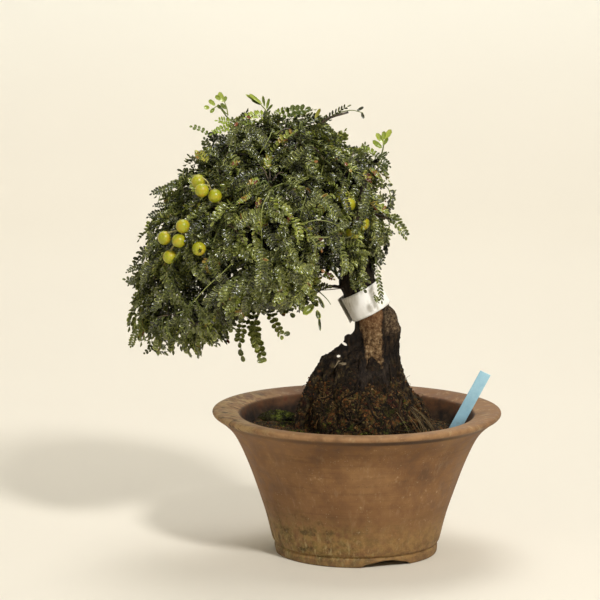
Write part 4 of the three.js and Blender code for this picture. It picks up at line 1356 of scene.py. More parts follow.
def makeFrond(leaflet, pairs, length, bend, bladeLength, bladeWidth, splay, dice):
    # a frond from the origin along X, facing Z, in millimetres
    bm = bmesh.new()
    bm.loops.layers.uv.new("blade")
    tone = bm.verts.layers.float_color.new("leafTone")
    axis = length - bladeLength * 0.8

    def along(share):
        x, z = frondEnd(axis * max(share, 0.001), bend * max(share, 0.001))
        return Vector((x, 0, z)), math.radians(bend * share)

    line = [along(step / 5)[0] for step in range(6)]
    tube(bm, line, [leaf["rachis"], leaf["rachis"] * 0.55], 3, tone, (0, 0, 0.5, 1))
    first = 0.2 if pairs > 5 else 0.3
    for pair in range(pairs + 1):
        share = between(first, 1, pair / pairs)
        centre, turn = along(share)
        frameHere = Matrix.Translation(centre) @ Matrix.Rotation(turn, 4, "Y")
        grown = between(0.75, 1, clamp(pair / 2)) * between(1, 0.8, clamp((share - 0.7) / 0.3))
        for side in ((1, -1) if pair < pairs else (0,)):
            yaw = math.radians(side * splay * between(1, 0.76, share) + dice.uniform(-6, 6))
            lift = math.radians(-(leaf["raise"] if side else 4) + dice.uniform(-18, 18))
            roll = math.radians(dice.uniform(-28, 28))
            size = grown * dice.uniform(0.9, 1.06)
            shape = Matrix.Diagonal((bladeLength * size, bladeWidth * size, bladeLength * size, 1))
            swing = Matrix.Rotation(yaw, 4, "Z") @ Matrix.Rotation(lift, 4, "Y")
            swing = swing @ Matrix.Rotation(roll, 4, "X")
            luck = dice.random()
            for vert in stamp(bm, leaflet, frameHere @ swing @ shape):
                vert[tone].y = luck
    bmesh.ops.scale(bm, vec=(mm, mm, mm), verts=bm.verts[:])
    return asMesh("frond", bm)


crown = {
    "centre": (-70.6, 0, 243.5),
    "depth": 86,
    "outline": [  # degrees from the right, radius seen from the front
        (0, 100), (30, 107), (45, 104), (71, 105), (90, 96), (110, 98), (130, 85), (154, 89), (180, 93),
        (197, 107), (220, 132), (238, 113), (250, 91), (254, 81), (257, 64), (270, 59), (284, 60), (294, 64),
        (309, 60), (318, 56), (326, 54), (334, 82), (342, 92), (360, 100),
    ],
    "shoots": 27,
    "phase": 0.55,
    "underside": -0.72,
    "inset": 20,
    "depthShare": 0.7,
    "bowRise": 8,
    "sideTwigs": 250,
    "sideInset": 13,
    "sideUnderside": -0.92,
    "sideFronds": 7,
    "innerTwigs": 76,       # short twigs with coarse fronds deep in the crown, dark green as painted shade
    "innerInset": 38,
    "innerFronds": 5,
    "mainFronds": 8,
    "twig": 1.45,
    "sideTwig": 0.55,
    "slack": 3,             # how far a frond may pass the outline
    "gaps": [(-20.5, 221, 6), (-149, 202.5, 5), (-160.5, 179, 6)],     # see-through places: x, z and radius
    "hollows": [            # dark gaps in the front of the crown: place and radius
        (-57, -66, 288, 12), (-10, -62, 288, 9), (-82, -62, 315, 7), (-99, -68, 276, 6), (-99, -66, 217, 6),
        (-58, -64, 226, 8),
    ],
    "coarseBelow": 205,     # low fronds are often round, and their shade is lifted: painted light where the crown's shade falls
    "coarseShare": 0.6,
    "paler": 0.12,
    "yellowShare": 0.04,
    "deadShare": 0.01,
    "seed": 77,
}
toViewer = Vector((0, -1, 0.35)).normalized()

# The shoots that the front view shows one by one. Fronds are kind, foot, tip, shade, and single leaves are
# foot, tip, width, shade. Shades run from dark green at 0 through light green at 0.8 to yellow, orange and
# brown at 1.
placedShoots = {
    "new_tip_left": {
        "path": [(-89, -18, 327), (-98, -20, 334), (-104, -23, 342)],
        "stems": [
            [(-98, -22, 336), (-99, -22, 342), (-101, -22, 347)],
            [(-99, -22, 337), (-105, -22, 343), (-110, -22, 340)],
        ],
        "leaves": [
            ((-111.6, -22, 341.6), (-116, -22, 342.3), 3.4, 0.5),
            ((-107.6, -22, 343.4), (-112.2, -23, 347.7), 3.6, 0.55),
            ((-108, -22, 341.7), (-111, -24, 338), 2.8, 0.4),
            ((-101.5, -22, 346), (-104.6, -22, 353.6), 4.2, 0.7),
            ((-103.5, -22, 347.5), (-107.3, -24, 351), 3.4, 0.5),
            ((-101, -22, 346), (-99.3, -22, 350.5), 3, 0.4),
            ((-98.7, -22, 340.8), (-103.6, -24, 345), 3.6, 0.3),
            ((-103, -22, 341), (-106, -23, 344), 2.8, 0.3),
        ],
        "fronds": [
            ("sparse", (-110, -16, 319), (-127, -16, 328), 0.3),
            ("short", (-112, -30, 300), (-121, -38, 312), 0.86),
            ("short", (-94, -20, 330), (-108, -26, 333), 0.5),
            ("flat", (-90, -22, 329), (-112, -28, 322), 0.45),
            ("flat", (-91, -20, 328), (-78, -30, 332), 0.4),
        ],
    },
    "new_tip_middle": {
        "path": [(-66.5, 0, 330), (-69, -1, 337), (-74, -2, 343)],
        "stems": [],
        "leaves": [
            ((-72.5, -2, 343), (-85.4, -2, 350.4), 2.6, 0.5), ((-73, -3, 343.5), (-82.5, -4, 351), 2.8, 0.7),
            ((-73.5, -1, 342.5), (-81, -3, 346.5), 2.4, 0.3), ((-71, -1, 341), (-72.3, -1, 349.4), 2.2, 0.3),
            ((-69.5, -1, 339), (-67.4, -2, 347.6), 2.4, 0.4), ((-69, -1, 338), (-64.8, -3, 343), 2, 0.3),
        ],
        "fronds": [
            ("flat", (-67, -2, 333), (-52, -12, 341), 0.55), ("arched", (-67, -2, 333), (-88, -16, 334), 0.6),
            ("round", (-63, -8, 333), (-36, -12, 341), 0.25),
        ],
    },
    "new_tip_right": {
        "path": [(16.5, -6, 303.5), (18, -8, 309), (19.5, -10, 317)],
        "stems": [],
        "leaves": [
            ((17.5, -10, 311), (10.3, -11, 316.7), 4.4, 0.4),
            ((18.5, -10, 315), (12.9, -11, 322.3), 4.2, 0.6), ((19, -10, 317.5), (24.4, -10, 325), 4.6, 0.8),
            ((18.5, -10, 317), (18.8, -12, 324), 3.6, 0.5), ((18, -10, 313), (22, -12, 319), 3, 0.4),
        ],
        "fronds": [
            ("flat", (8.6, -10, 309), (25, -11, 296), 0.1), ("short", (14, -8, 302), (22, -10, 291), 0.3),
            ("arched", (13, -8, 302), (2, -20, 313), 0.4), ("short", (16, -6, 303), (23, -8, 308), 0.2),
        ],
    },
    "arching_shoot_top": {
        "path": [(-40, -5, 310), (-26, -10, 331), (-8, -12, 338)],
        "stems": [[(-30, -9, 326), (-18, -11, 336), (-6, -12, 339.5), (3, -12, 337.5)]],
        "leaves": [
            ((-2, -12, 339), (3.5, -12, 342), 2.4, 0.1), ((2, -12, 338), (3.6, -12, 333), 2.4, 0.1),
            ((-33, -12, 333), (-29, -14, 341), 3, 0.9),
        ],
        "fronds": [
            ("slim", (-33, -8, 326), (-6, -11, 344), 0.3), ("flat", (-35, -8, 322), (-16, -18, 323), 0.5),
            ("arched", (-37, -6, 317), (-14, -14, 316), 0.3), ("flat", (-37, -8, 320), (-56, -18, 331), 0.5),
            ("short", (-36, -8, 318), (-30, -24, 328), 0.6),
        ],
    },
    "arching_shoot_right": {
        "path": [(-2, -8, 262), (12, -20, 262), (24, -26, 259)],
        "stems": [
            [(6, -16, 262), (12, -18, 280), (20, -20, 284), (24, -20, 276), (23.5, -20, 267)],
            [(4, -16, 262), (10, -20, 244), (13.4, -22, 224)],
        ],
        "leaves": [
            ((17.4, -20, 282), (21, -22, 286), 2.6, 0.3), ((21, -20, 284), (25.6, -20, 284.5), 2.6, 0.3),
            ((23, -20, 280), (27.6, -20, 279), 2.6, 0.2), ((24, -20, 275), (28, -20, 272.6), 2.6, 0.3),
            ((23.5, -20, 270), (26.4, -20, 265.4), 2.4, 0.3), ((8, -24, 243), (19, -24, 245), 3.2, 0.91),
        ],
        "fronds": [
            ("arched", (20, -22, 264), (37.5, -24, 243), 0.55),
            ("short", (19, -24, 261), (33, -26, 259), 0.5), ("flat", (9.5, -24, 251.5), (28, -26, 248), 0.4),
            ("arched", (6, -18, 268), (24, -22, 277), 0.35),
            ("slim", (13.4, -22, 226), (18.3, -22, 193.4), 0.62),
            ("arched", (10, -18, 244), (20, -20, 226), 0.35), ("flat", (6, -20, 246), (3, -27, 221), 0.45),
            ("round", (-5, -24, 220), (6, -29, 203.5), 0.45),
            ("short", (-6, -24, 217), (-1.5, -29, 204), 0.5),
            ("short", (-4, -24, 221), (9.5, -29, 211), 0.45), ("short", (11, -24, 203), (16, -26, 195), 0.6),
            ("arched", (2, -16, 250), (10, -24, 232), 0.4),
        ],
    },
    "low_spray": {
        "path": [(-29, -13.5, 203), (-38, -18, 201), (-42, -19, 190)],
        "stems": [[(-30, -14, 203), (-24, -18, 198), (-20.5, -20, 193.5)]],
        "leaves": [
            ((-33, -22, 194), (-41.5, -28, 187), 6.4, 0.84), ((-31, -24, 190), (-29, -26, 183), 4, 0.5),
            ((-29.5, -24, 186), (-28.3, -26, 174), 2.2, 0.5), ((-30, -22, 200), (-25.5, -24, 191), 3.2, 0.5),
            ((-36, -24, 199), (-30, -28, 193), 4, 0.3), ((-40, -24, 199), (-44, -28, 190), 4, 0.3),
        ],
        "fronds": [
            ("round", (-44.5, -22, 211), (-30, -26, 195), 0.65),
            ("round", (-46, -24, 205), (-41.5, -28, 189), 0.65),
            ("short", (-34, -16, 204), (-20, -26, 208), 0.3),
            ("round", (-46, -24, 214), (-30, -34, 206), 0.25),
        ],
    },
    "drooping_shoot_left": {
        "path": [(-138, 2, 236), (-156, -6, 206), (-160, -10, 182)],
        "stems": [],
        "leaves": [],
        "fronds": [
            ("round", (-159, -10, 186), (-150, -16, 166), 0.3),
            ("arched", (-157, -8, 201), (-178, -14, 212), 0.3),
            ("flat", (-152, -4, 212), (-173, -10, 222), 0.4),
            ("arched", (-157, -8, 204), (-168, -20, 191), 0.45),
            ("flat", (-154, -6, 208), (-160, -24, 189), 0.4),
            ("arched", (-150, -4, 216), (-168, -18, 206), 0.3),
            ("hooked", (-146, 0, 226), (-168, -6, 232), 0.35),
            ("flat", (-148, -2, 220), (-162, -20, 220), 0.3),
        ],
    },
    "drooping_shoot_low": {
        "path": [(-69, -16, 199), (-74, 2, 186), (-80, 10, 170)],
        "stems": [[(-90, 6, 176), (-90, 8, 164), (-88, 8, 150)]],
        "leaves": [
            ((-69.5, 0, 147.5), (-76.5, 0, 146.5), 4.2, 0.75), ((-90, 8, 154.5), (-88, 8, 149), 4.4, 0.7),
            ((-88, 8, 149.5), (-86.5, 8, 144.5), 3.6, 0.7), ((-56, -18, 170), (-51, -18, 171.5), 4, 0.3),
            ((-60, -16, 190), (-55, -18, 184), 3.6, 0.97),
        ],
        "fronds": [
            # the hanging sprays are given pale shades: painted light in the crown's shade
            ("spray", (-84, 2, 180), (-70, 2, 145), 0.78),
            ("spray", (-71.5, -18, 192), (-56, -18, 166), 0.78),
            ("spray", (-80, -6, 194), (-76, -14, 157), 0.74), ("round", (-74, -8, 196), (-62, -30, 182), 0.5),
            ("round", (-72, -12, 200), (-84, -30, 180), 0.45), ("round", (-86, 0, 184), (-90, -8, 158), 0.74),
            ("round", (-66, -14, 200), (-48, -34, 186), 0.5), ("round", (-76, 2, 190), (-66, 18, 184), 0.4),
        ],
    },
}

# Stems and odd leaves on the front of the crown. Stems have a paleness and a kind: 0.5 is green, 1 is bark
surfaceStems = [
    ([(-92, -62, 232), (-101.6, -74, 223.8), (-112.5, -78, 214.2), (-122, -76, 203)], 0.9, 0.5),
    ([(-66, -70, 284), (-70.9, -80, 275.5), (-72.4, -82, 262), (-71.6, -78, 249.7)], 0.9, 0.5),
    ([(-48, -64, 258), (-42.5, -78, 261.6), (-30.8, -80, 264.6), (-18.4, -74, 261), (-10, -60, 252)],
     0.8, 0.5),
    ([(-37.6, -72, 251), (-33.2, -78, 248), (-32.2, -78, 242.5), (-36.5, -74, 233.7)], 0.8, 0.5),
    ([(-44, -70, 251), (-34, -78, 251.8), (-23.4, -76, 251.4)], 1, 0.5),
    ([(-44, -62, 262), (-43, -78, 270), (-39.6, -76, 282)], 0.6, 0.5),
    ([(-74, -50, 310), (-68, -54, 320), (-64, -44, 328)], 0.6, 0.5),
    ([(-11, -13, 205), (-23.5, -16, 204), (-33, -16, 203.5)], 0.2, 1),
    ([(-136, -28, 284), (-141, -28, 281.5), (-147, -28, 279), (-150, -28, 271.5)], 0.2, 0.5),
    ([(-156, -10, 190), (-160, -12, 185), (-164, -12, 180), (-167.5, -13, 173.5)], 0.5, 0.5),
    ([(-146, -8, 160), (-154, -8, 161.5), (-163.5, -8, 164.5)], 0.4, 0.5),
]
surfaceFronds = [
    ("long", (-71.6, -80, 250), (-72.4, -84, 212), 0.45), ("flat", (-70.9, -78, 272), (-52, -84, 262), 0.6),
    ("arched", (-71, -78, 268), (-92, -82, 258), 0.5), ("flat", (-43, -76, 268), (-28, -82, 284), 0.55),
    ("long", (-38, -70, 290), (-12, -76, 262), 0.5), ("flat", (-24, -70, 252), (-6, -66, 262), 0.5),
    ("short", (-117, -42, 303), (-122, -44, 312), 0.86), ("flat", (-56, -74, 250), (-44, -80, 232), 0.6),
    # the yellow, orange and brown ones
    ("short", (-72, -70, 294), (-83, -73, 290), 0.9), ("flat", (-78, -72, 283), (-91, -75, 275), 0.87),
    ("short", (-72, -74, 282), (-76, -77, 273), 0.96), ("short", (-60, -72, 273), (-63, -75, 265), 0.95),
    ("short", (-49, -70, 269), (-53, -73, 262), 0.95), ("flat", (6.5, -30, 299), (17, -32, 290), 0.9),
    ("short", (2, -32, 297), (9.5, -34, 287), 0.97), ("short", (-28, -30, 220), (-17, -32, 213.5), 0.9),
    ("short", (12, -20, 277), (21, -22, 271.5), 0.97), ("short", (-96, -58, 300), (-88, -62, 306), 0.89),
    # those that stand out at the left edge
    ("flat", (-136, -28, 284.5), (-157, -30, 277), 0.3), ("flat", (-139, -24, 269.5), (-155, -24, 268), 0.25),
    ("flat", (-140, -20, 266), (-160, -20, 258.5), 0.25), ("short", (-148, -20, 259), (-158, -20, 250), 0.2),
    ("flat", (-160, -14, 223), (-176, -14, 216), 0.3), ("flat", (-159, -16, 219), (-174.5, -16, 206), 0.3),
    ("round", (-159, -14, 205), (-170.5, -14, 188), 0.25),
    ("round", (-153, -14, 191), (-166.5, -14, 181), 0.25),
    ("arched", (-165, -13, 177), (-172.5, -14, 158), 0.6),
    ("sparse", (-149, -8, 161.5), (-163, -8, 153), 0.3),
    # over the limbs
    ("flat", (-95, -44, 331), (-71, -48, 321), 0.4), ("arched", (-82, -46, 331), (-66, -50, 316), 0.35),
    ("flat", (-88, -42, 336), (-98, -48, 318), 0.5), ("hooked", (-74, -46, 326), (-88, -50, 314), 0.3),
    ("flat", (-4, -34, 286), (6, -38, 268), 0.3), ("arched", (5, -32, 277), (9, -37, 257), 0.25),
    ("short", (-6, -36, 296), (4, -40, 284), 0.35), ("flat", (-1, -38, 290), (-8, -42, 264), 0.4),
    ("flat", (-2, -38, 274), (-13, -42, 250), 0.3), ("arched", (-13, -38, 282), (-3, -42, 260), 0.2),
    ("flat", (6, -54, 289), (1, -61, 262), 0.4), ("flat", (8, -54, 276), (-5, -62, 252), 0.3),
    ("arched", (-14, -56, 284), (-7, -60, 266), 0.2), ("short", (2, -58, 262), (-6, -64, 250), 0.45),
]
surfaceLeaves = [  # foot, width, shade
    ((-80.4, -78, 293.7), 3, 0.93), ((-31, -72, 307), 2.6, 0.95), ((-11, -60, 305), 3, 0.97),
    ((-25.3, -60, 223.6), 3, 0.95), ((-90, -46, 333), 3.2, 0.96), ((-84, -40, 337), 3, 0.97),
    ((-99, -20, 167), 2.6, 1.0), ((-8, -60, 300), 2.6, 0.92),
]


def crownRadius(x, z):
    degrees = math.degrees(math.atan2(z, x)) % 360
    for (a0, r0), (a1, r1) in zip(crown["outline"], crown["outline"][1:]):
        if degrees <= a1:
            return between(r0, r1, (degrees - a0) / (a1 - a0))


def onCrown(index, count, underside, phase, inset):
    # the index-th of so many places spread evenly over the crown
    height = between(1, underside, (index + 0.5) / count)
    around = goldenAngle * index + phase
    across = math.sqrt(1 - height * height)
    x, y = across * math.cos(around), across * math.sin(around)
    radius = crownRadius(x, height) - inset
    cx, cy, cz = crown["centre"]
    return spot(cx + x * radius, cy + y * (crown["depth"] - inset), cz + height * radius)


def outside(point):
    # how far a point lies beyond the crown's outline, in millimetres
    offset = (point - spot(*crown["centre"])) / mm
    radius = crownRadius(offset.x, offset.z)
    flat = math.hypot(offset.x, offset.z)
    return math.hypot(flat, offset.y * radius / crown["depth"]) - radius


def inHollow(point):
    return any((point - spot(x, y, z)).length < radius * mm for x, y, z, radius in crown["hollows"])


def inGap(point):
    x, z = point.x / mm - potAxis, point.z / mm
    return any(math.hypot(x - gapX, z - gapZ) < radius for gapX, gapZ, radius in crown["gaps"])


def shootPaths():
    paths = {name: [spot(*point) for point in shoot["path"]] for name, shoot in placedShoots.items()}
    middle = spot(*crown["centre"])
    for i in range(crown["shoots"]):
        tip = onCrown(i, crown["shoots"], crown["underside"], crown["phase"], crown["inset"])
        root = woodTree.find_nearest(middle.lerp(tip, crown["depthShare"]))[0]
        bow = root.lerp(tip, 0.55) + up * crown["bowRise"] * mm
        paths[f"shoot_{i + 1:02d}"] = [root, bow, tip]
    return paths


def frondAhead(base, twigAhead, turn, dice):
    # the way a frond grows from its twig, and the way it faces: flat over the crown, more hanging lower down
    outward = (base - spot(*crown["centre"])).normalized()
    side = twigAhead.cross(outward).normalized()
    other = side.cross(twigAhead).normalized()
    ahead = side * math.cos(turn) + other * math.sin(turn)
    hang = between(0.1, 1.0, clamp(0.55 - outward.z * 0.6))
    lift = between(0.45, 0.05, clamp(outward.z))
    ahead = ahead * 0.75 + outward * lift + twigAhead * 0.35 - up * hang
    facing = outward + up * 0.35 + Vector((dice.uniform(-1, 1), dice.uniform(-1, 1), 0)) * 0.3
    return ahead.normalized(), facing.normalized()


def newFoliage():
    bm = bmesh.new()
    bm.loops.layers.uv.new("blade")
    return bm, bm.verts.layers.float_color.new("leafTone")


def placeFrond(bm, tone, fronds, kind, foot, tip, shade, facing):
    # a frond bent between two given places
    length, bend = leaf["fronds"][kind][1:3]
    x, z = frondEnd(length, bend)
    chord = tip - foot
    ahead = chord.normalized()
    side = facing.cross(ahead).normalized()
    rise = ahead.cross(side)
    half = math.atan2(-z, x)
    start = ahead * math.cos(half) + rise * math.sin(half)
    size = chord.length / (math.hypot(x, z) * mm)
    for vert in stamp(bm, fronds[kind], basis(start, rise, foot, size)):
        vert[tone].x = shade


def placeLeaf(bm, tone, leaflet, foot, tip, width, shade, facing, luck):
    length = (tip - foot).length
    shape = Matrix.Diagonal((length, width * mm, length, 1))
    for vert in stamp(bm, leaflet, basis((tip - foot).normalized(), facing, foot) @ shape):
        vert[tone] = (shade, luck, 0, vert[tone].w)


def loose(dice, amount):
    # a small random lean to the sides and up or down
    return Vector((dice.uniform(-1, 1), 0, dice.uniform(-1, 1))) * amount


def sideTwigs(lines, dice):
    # root, tip and whether it lies deep in the crown, for every twig of each main shoot
    twigs = {name: [] for name in lines}
    underside = crown["sideUnderside"]
    for i in range(crown["sideTwigs"]):
        tip = onCrown(i, crown["sideTwigs"], underside, 1.3, crown["sideInset"] + dice.uniform(-3, 10))
        tip += Vector((dice.gauss(0, 3), dice.gauss(0, 3), dice.gauss(0, 3))) * mm
        near = [((line[k] - tip).length, name, k) for name, line in lines.items() for k in range(3, 9)]
        name, k = min(near)[1:]
        twigs[name].append((lines[name][k], tip, False))
    middle = spot(*crown["centre"])
    for i in range(crown["innerTwigs"]):
        tip = onCrown(i, crown["innerTwigs"], underside, 0.4, crown["innerInset"] + dice.uniform(-8, 8))
        root = woodTree.find_nearest(middle.lerp(tip, 0.75))[0]
        name = min(((line[5] - tip).length, name) for name, line in lines.items())[1]
        twigs[name].append((root, tip, True))
    return twigs


def placeShoot(bm, tone, shoot, leaflet, fronds, dice):
    for stem in shoot["stems"]:
        line = curve([spot(*point) for point in stem], 9)
        tube(bm, line, [0.5 * mm, 0.3 * mm], 4, tone, (0.5, dice.random(), 0.5, 1))
    for foot, tip, width, shade in shoot["leaves"]:
        facing = toViewer + loose(dice, 0.35)
        placeLeaf(bm, tone, leaflet, spot(*foot), spot(*tip), width, shade, facing, dice.random() * 0.9)
    for kind, foot, tip, shade in shoot["fronds"]:
        facing = toViewer + up * 0.3 + loose(dice, 0.25)
        placeFrond(bm, tone, fronds, kind, spot(*foot), spot(*tip), shade, facing)


def growFrond(bm, tone, fronds, base, twigAhead, turn, mood, inner, dice):
    # one frond on a twig, left out where it would pass the outline or fill a gap
    ahead, facing = frondAhead(base, twigAhead, turn, dice)
    kind = dice.choice(("flat", "arched", "arched", "hooked", "short", "lifted", "flat", "long"))
    low = base.z / mm < crown["coarseBelow"]
    if low and dice.random() < crown["coarseShare"]:
        kind = "round"
    if inner:
        kind = "inner"
    pose = basis(ahead, facing, base, dice.uniform(0.84, 1.06))
    x, z = frondEnd(*leaf["fronds"][kind][1:3])
    reach = pose @ Vector((x * mm, 0, z * mm))
    if outside(reach) > crown["slack"] or inHollow(reach) or inGap(reach):
        return
    # painted light: low fronds that are not deep in the crown are made paler
    shade = clamp(mood + dice.gauss(0, 0.1) + (crown["paler"] if low and not inner else 0), 0, 0.8)
    if dice.random() < crown["yellowShare"]:
        shade = dice.uniform(0.82, 0.9)
    elif dice.random() < crown["deadShare"]:
        shade = dice.uniform(0.93, 1)
    for vert in stamp(bm, fronds[kind], pose):
        vert[tone].x = shade


def growShoot(bm, tone, mainLine, twigs, fronds, dice):
    stems = [(mainLine, crown["mainFronds"], False)]
    thin = crown["sideTwig"] * mm
    for root, tip, inner in twigs:
        bow = root.lerp(tip, 0.55) + up * dice.uniform(2, 6) * mm
        line = curve([root, bow, tip], 6)
        green = 0.5 if dice.random() < 0.4 else 1
        tube(bm, line, [thin * 1.2, thin * 0.7], 4, tone, (0.5, dice.random(), green, 1))
        number = crown["innerFronds"] if inner else crown["sideFronds"] + dice.choice((-1, 0, 0, 1))
        stems.append((line, number, inner))
    for line, number, inner in stems:
        turn = dice.uniform(0, 6)
        # painted shade: fronds deep in the crown get a dark shade
        mood = 0.1 if inner else dice.uniform(0.05, 0.85)
        for k in range(number):
            place = between(1, 0.25, (k / number) ** 1.2) * (len(line) - 1)
            index = min(int(place), len(line) - 2)
            base = line[index].lerp(line[index + 1], place - index)
            twigAhead = (line[index + 1] - line[index]).normalized()
            growFrond(bm, tone, fronds, base, twigAhead, turn, mood, inner, dice)
            turn += goldenAngle


def dressFront(pieces, lines, leaflet, fronds, dice):
    # the stems, fronds and leaves on the front go with the nearest main shoot
    def nearest(point):
        away = [(min((here - point).length for here in line), name) for name, line in lines.items()]
        return pieces[min(away)[1]]

    for stem, paleness, kind in surfaceStems:
        bm, tone = nearest(spot(*stem[0]))
        line = curve([spot(*point) for point in stem], 14)
        tube(bm, line, [0.4 * mm, 0.3 * mm], 5, tone, (0.5, paleness, kind, 1))
    for kind, foot, tip, shade in surfaceFronds:
        placeFrond(*nearest(spot(*foot)), fronds, kind, spot(*foot), spot(*tip), shade, toViewer)
    for foot, width, shade in surfaceLeaves:
        foot = spot(*foot)
        ahead = Vector((dice.uniform(-1, 1), -0.3, dice.uniform(-1, 0.4))).normalized()
        tip = foot + ahead * dice.uniform(2.8, 4.6) * mm
        placeLeaf(*nearest(foot), leaflet, foot, tip, width * 0.75, shade, toViewer, 0.5)


def makeFoliage():
    dice = random.Random(crown["seed"])
    leaflet, roundLeaflet, coarse = [makeLeaflet(leaf[key]) for key in ("sides", "roundSides", "innerSides")]
    blades = {"round": roundLeaflet, "sparse": roundLeaflet, "spray": roundLeaflet, "inner": coarse}
    fronds = {}
    for name, shape in leaf["fronds"].items():
        fronds[name] = makeFrond(blades.get(name, leaflet), *shape, dice)
    skins = {False: leafMaterial("leaves", False), True: leafMaterial("young leaves", True)}
    lines = {name: curve(path, 9) for name, path in shootPaths().items()}
    mainLines = {name: line for name, line in lines.items() if name not in placedShoots}
    twigs = sideTwigs(mainLines, dice)
    pieces = {}
    for name, line in lines.items():
        young = name.startswith("new_tip")
        bm, tone = pieces[name] = newFoliage()
        thick = crown["twig"] * (0.5 if young else 1) * mm
        tube(bm, line, [thick, thick * 0.6], 5, tone, (0.5, dice.random(), 0.5 if young else 1, 1))
        if name in placedShoots:
            placeShoot(bm, tone, placedShoots[name], roundLeaflet, fronds, dice)
        else:
            growShoot(bm, tone, line, twigs[name], fronds, dice)
    dressFront(pieces, mainLines, roundLeaflet, fronds, dice)
    for name, (bm, tone) in pieces.items():
        young = name.startswith("new_tip")
        settle("leafy_" + name, bm, [skins[young]], [name])
    for mesh in [leaflet, roundLeaflet, coarse, *fronds.values()]:
        bpy.data.meshes.remove(mesh)


def leafMaterial(name, young):
    r = Recipe(name, Specular_IOR_Level=0.75)
    tone = r.attribute("leafTone")
    shade, luck, stem = r.parts(tone)
    top = r.attribute("leafTone", "Alpha")
    blade = r.add("ShaderNodeUVMap", {"uv_map": "blade"})
    along, across = r.parts(blade)[:2]
    if young:
        base = r.ramp(
            shade, (0.0, 30, 38, 14), (0.25, 70, 84, 24), (0.45, 128, 146, 40), (0.8, 170, 182, 74),
            (1.0, 180, 150, 76))
    else:
        base = r.ramp(
            shade + (luck - 0.5) * 0.16, (0.0, 10, 13, 5), (0.3, 30, 36, 12), (0.55, 62, 70, 23),
            (0.78, 104, 112, 40), (0.86, 128, 142, 44), (0.92, 156, 134, 48), (0.96, 114, 58, 28),
            (1.0, 70, 30, 20))
        dead = r.ramp(luck, (0.988, 134, 92, 38), (0.996, 88, 38, 22))
        base = r.mix(base, dead, r.fade(luck, 0.982, 0.986))
        # painted light: the low shoots at the left are paler, in patches as wide as a frond
        at = r.place()
        sides = r.parts(at)
        pale = r.spots(at, 16, 0.4, 0.58, 3, 0.6) * r.fade(sides[0], -0.02, -0.07)
        base = r.mix(base, (116, 122, 66), pale * r.fade(sides[2], 0.25, 0.18) * 0.5)
    # a pale rolled rim, brighter along one side as painted highlight, a fine midrib and a pale underside
    radius = r.vector("DISTANCE", [blade, (0.5, 0.5, 0)], "Value")
    rim = r.fade(radius, 0.32, 0.44) * r.fade(across + (luck - 0.5) * 0.7, 0.3, 0.7, 0.15, 1)
    ribs = r.fade((across - 0.5).absolute(), 0.08, 0.02) * r.fade(along, 0.95, 0.5)
    paleness = r.ramp(
        shade + (luck - 0.5) * 0.3, (0.0, 114, 120, 66), (0.5, 182, 186, 104), (0.85, 196, 200, 108),
        (0.95, 150, 92, 44))
    base = r.mix(base, paleness, (ribs * 0.4).most(rim * (0.5 if young else 0.9)))
    under = r.fade(top, 0.4, 0.1)
    base = r.mix(base, (104, 112, 62), under * 0.65)
    green = r.ramp(luck, (0.2, 96, 108, 42), (0.7, 118, 126, 56), (0.95, 142, 148, 76))
    bark = r.ramp(r.noise(r.place(), 2), (0.4, 40, 30, 20), (0.6, 84, 66, 44))
    base = r.mix(base, green, r.fade(stem, 0.2, 0.4))
    base = r.mix(base, bark, r.fade(stem, 0.7, 0.9))
    mottle = r.noise(r.place(), 1.6, 3, 0.6)
    rough = r.fade(mottle, 0.3, 0.7, 0.16, 0.32) + under * 0.25 + r.fade(stem, 0.2, 0.4, 0, 0.25)
    wave = {"Vector": blade, "Scale": 2.4, "Distortion": 1}
    veins = r.add("ShaderNodeTexWave", {"bands_direction": "X"}, wave)
    relief = r.bump(veins * 0.5 + ribs * -1 + mottle * 0.4, 0.12, 0.4)
    return r.finish(Base_Color=base, Roughness=rough, Normal=relief)


makeFoliage()
print("foliage made")


# What lies hidden in the pot keeps its own shape and gets its finish


def netMaterial():
    r = Recipe("drain net", Specular_IOR_Level=0.4)
    scuff = r.noise(r.place(), 2, 4, 0.6)
    base = r.ramp(scuff, (0.35, 30, 31, 30), (0.7, 62, 62, 58))
    rough = r.fade(scuff, 0.3, 0.7, 0.45, 0.7)
    return r.finish(Base_Color=base, Roughness=rough, Normal=r.bump(scuff, 0.1, 0.5))


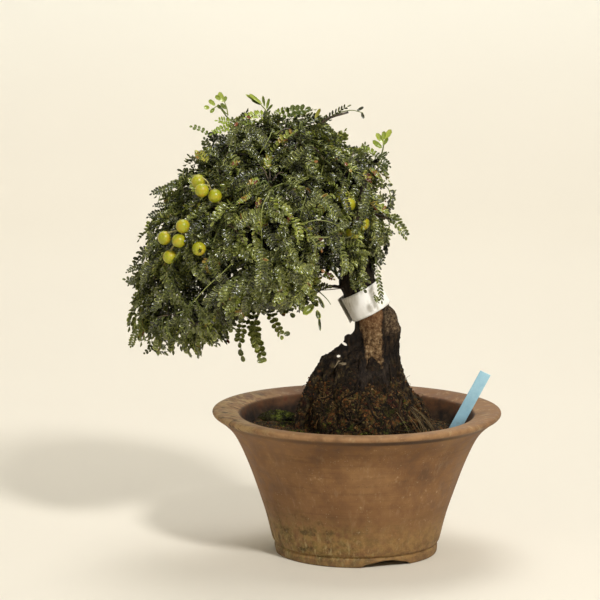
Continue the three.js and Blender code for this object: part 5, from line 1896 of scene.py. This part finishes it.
def wireMaterial():
    r = Recipe("aluminium wire", Metallic=1.0)
    scuff = r.noise(r.place((0.2, 1, 1)), 0.8, 4, 0.6)
    base = r.ramp(scuff, (0.3, 140, 138, 134), (0.7, 196, 195, 190))
    rough = r.fade(scuff, 0.3, 0.7, 0.3, 0.5)
    return r.finish(Base_Color=base, Roughness=rough, Normal=r.bump(scuff, 0.05, 0.5))


def gritMaterial():
    r = Recipe("drainage grit", Specular_IOR_Level=0.25)
    at = r.place()
    grains = r.cells(at, 4.2)
    kind = r.parts(r.cells(at, 4.2, "Color"))[0]
    base = r.ramp(kind, (0.0, 120, 98, 72), (0.5, 168, 150, 122), (1.0, 150, 92, 60))
    # painted shade: the gaps between the grains are dark
    base = r.mix(base, (48, 36, 26), r.fade(grains, 0.32, 0.5))
    rough = r.fade(grains, 0.1, 0.5, 0.75, 0.95)
    return r.finish(Base_Color=base, Roughness=rough, Normal=r.bump(grains * -1, 1.4, 0.8))


finishes = {"drain_net": netMaterial, "drain_wire": wireMaterial, "drainage_grit": gritMaterial}
for hidden, finish in finishes.items():
    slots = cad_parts[hidden].data.materials
    slots.clear()
    slots.append(finish())
print("hidden pieces finished")


def makeRoom():
    # a round floor that bends up into the wall, open at the top
    radius, height = room["radius"] * mm, room["height"] * mm
    bm = bmesh.new()
    bmesh.ops.create_cone(bm, cap_ends=True, segments=96, radius1=radius, radius2=radius, depth=height,
                          matrix=Matrix.Translation((0, 0, height / 2)))
    lid = [face for face in bm.faces if face.calc_center_median().z > height * 0.9]
    bmesh.ops.delete(bm, geom=lid, context="FACES")
    foot = [edge for edge in bm.edges if all(vert.co.z < mm for vert in edge.verts)]
    bmesh.ops.bevel(bm, geom=foot, affect="EDGES", offset=room["bend"] * mm, segments=16, profile=0.5,
                    material=-1)
    bmesh.ops.reverse_faces(bm, faces=bm.faces[:])
    for face in bm.faces:
        face.smooth = True
    backdrop = shown("backdrop", asMesh("backdrop", bm))
    r = Recipe("cream paper", Specular_IOR_Level=0.1)
    soft = r.noise(r.place(), 600, 2)
    wall = r.ramp(soft, (0.3, 233, 231, 221), (0.7, 237, 235, 225))
    base = r.mix(wall, (221, 213, 199), r.fade(r.parts(r.place())[2], 0.5, 0.0, 0, 0.7))
    rough = r.fade(soft, 0.3, 0.7, 0.85, 0.95)
    backdrop.data.materials.append(r.finish(Base_Color=base, Roughness=rough))


makeRoom()
print("backdrop made")
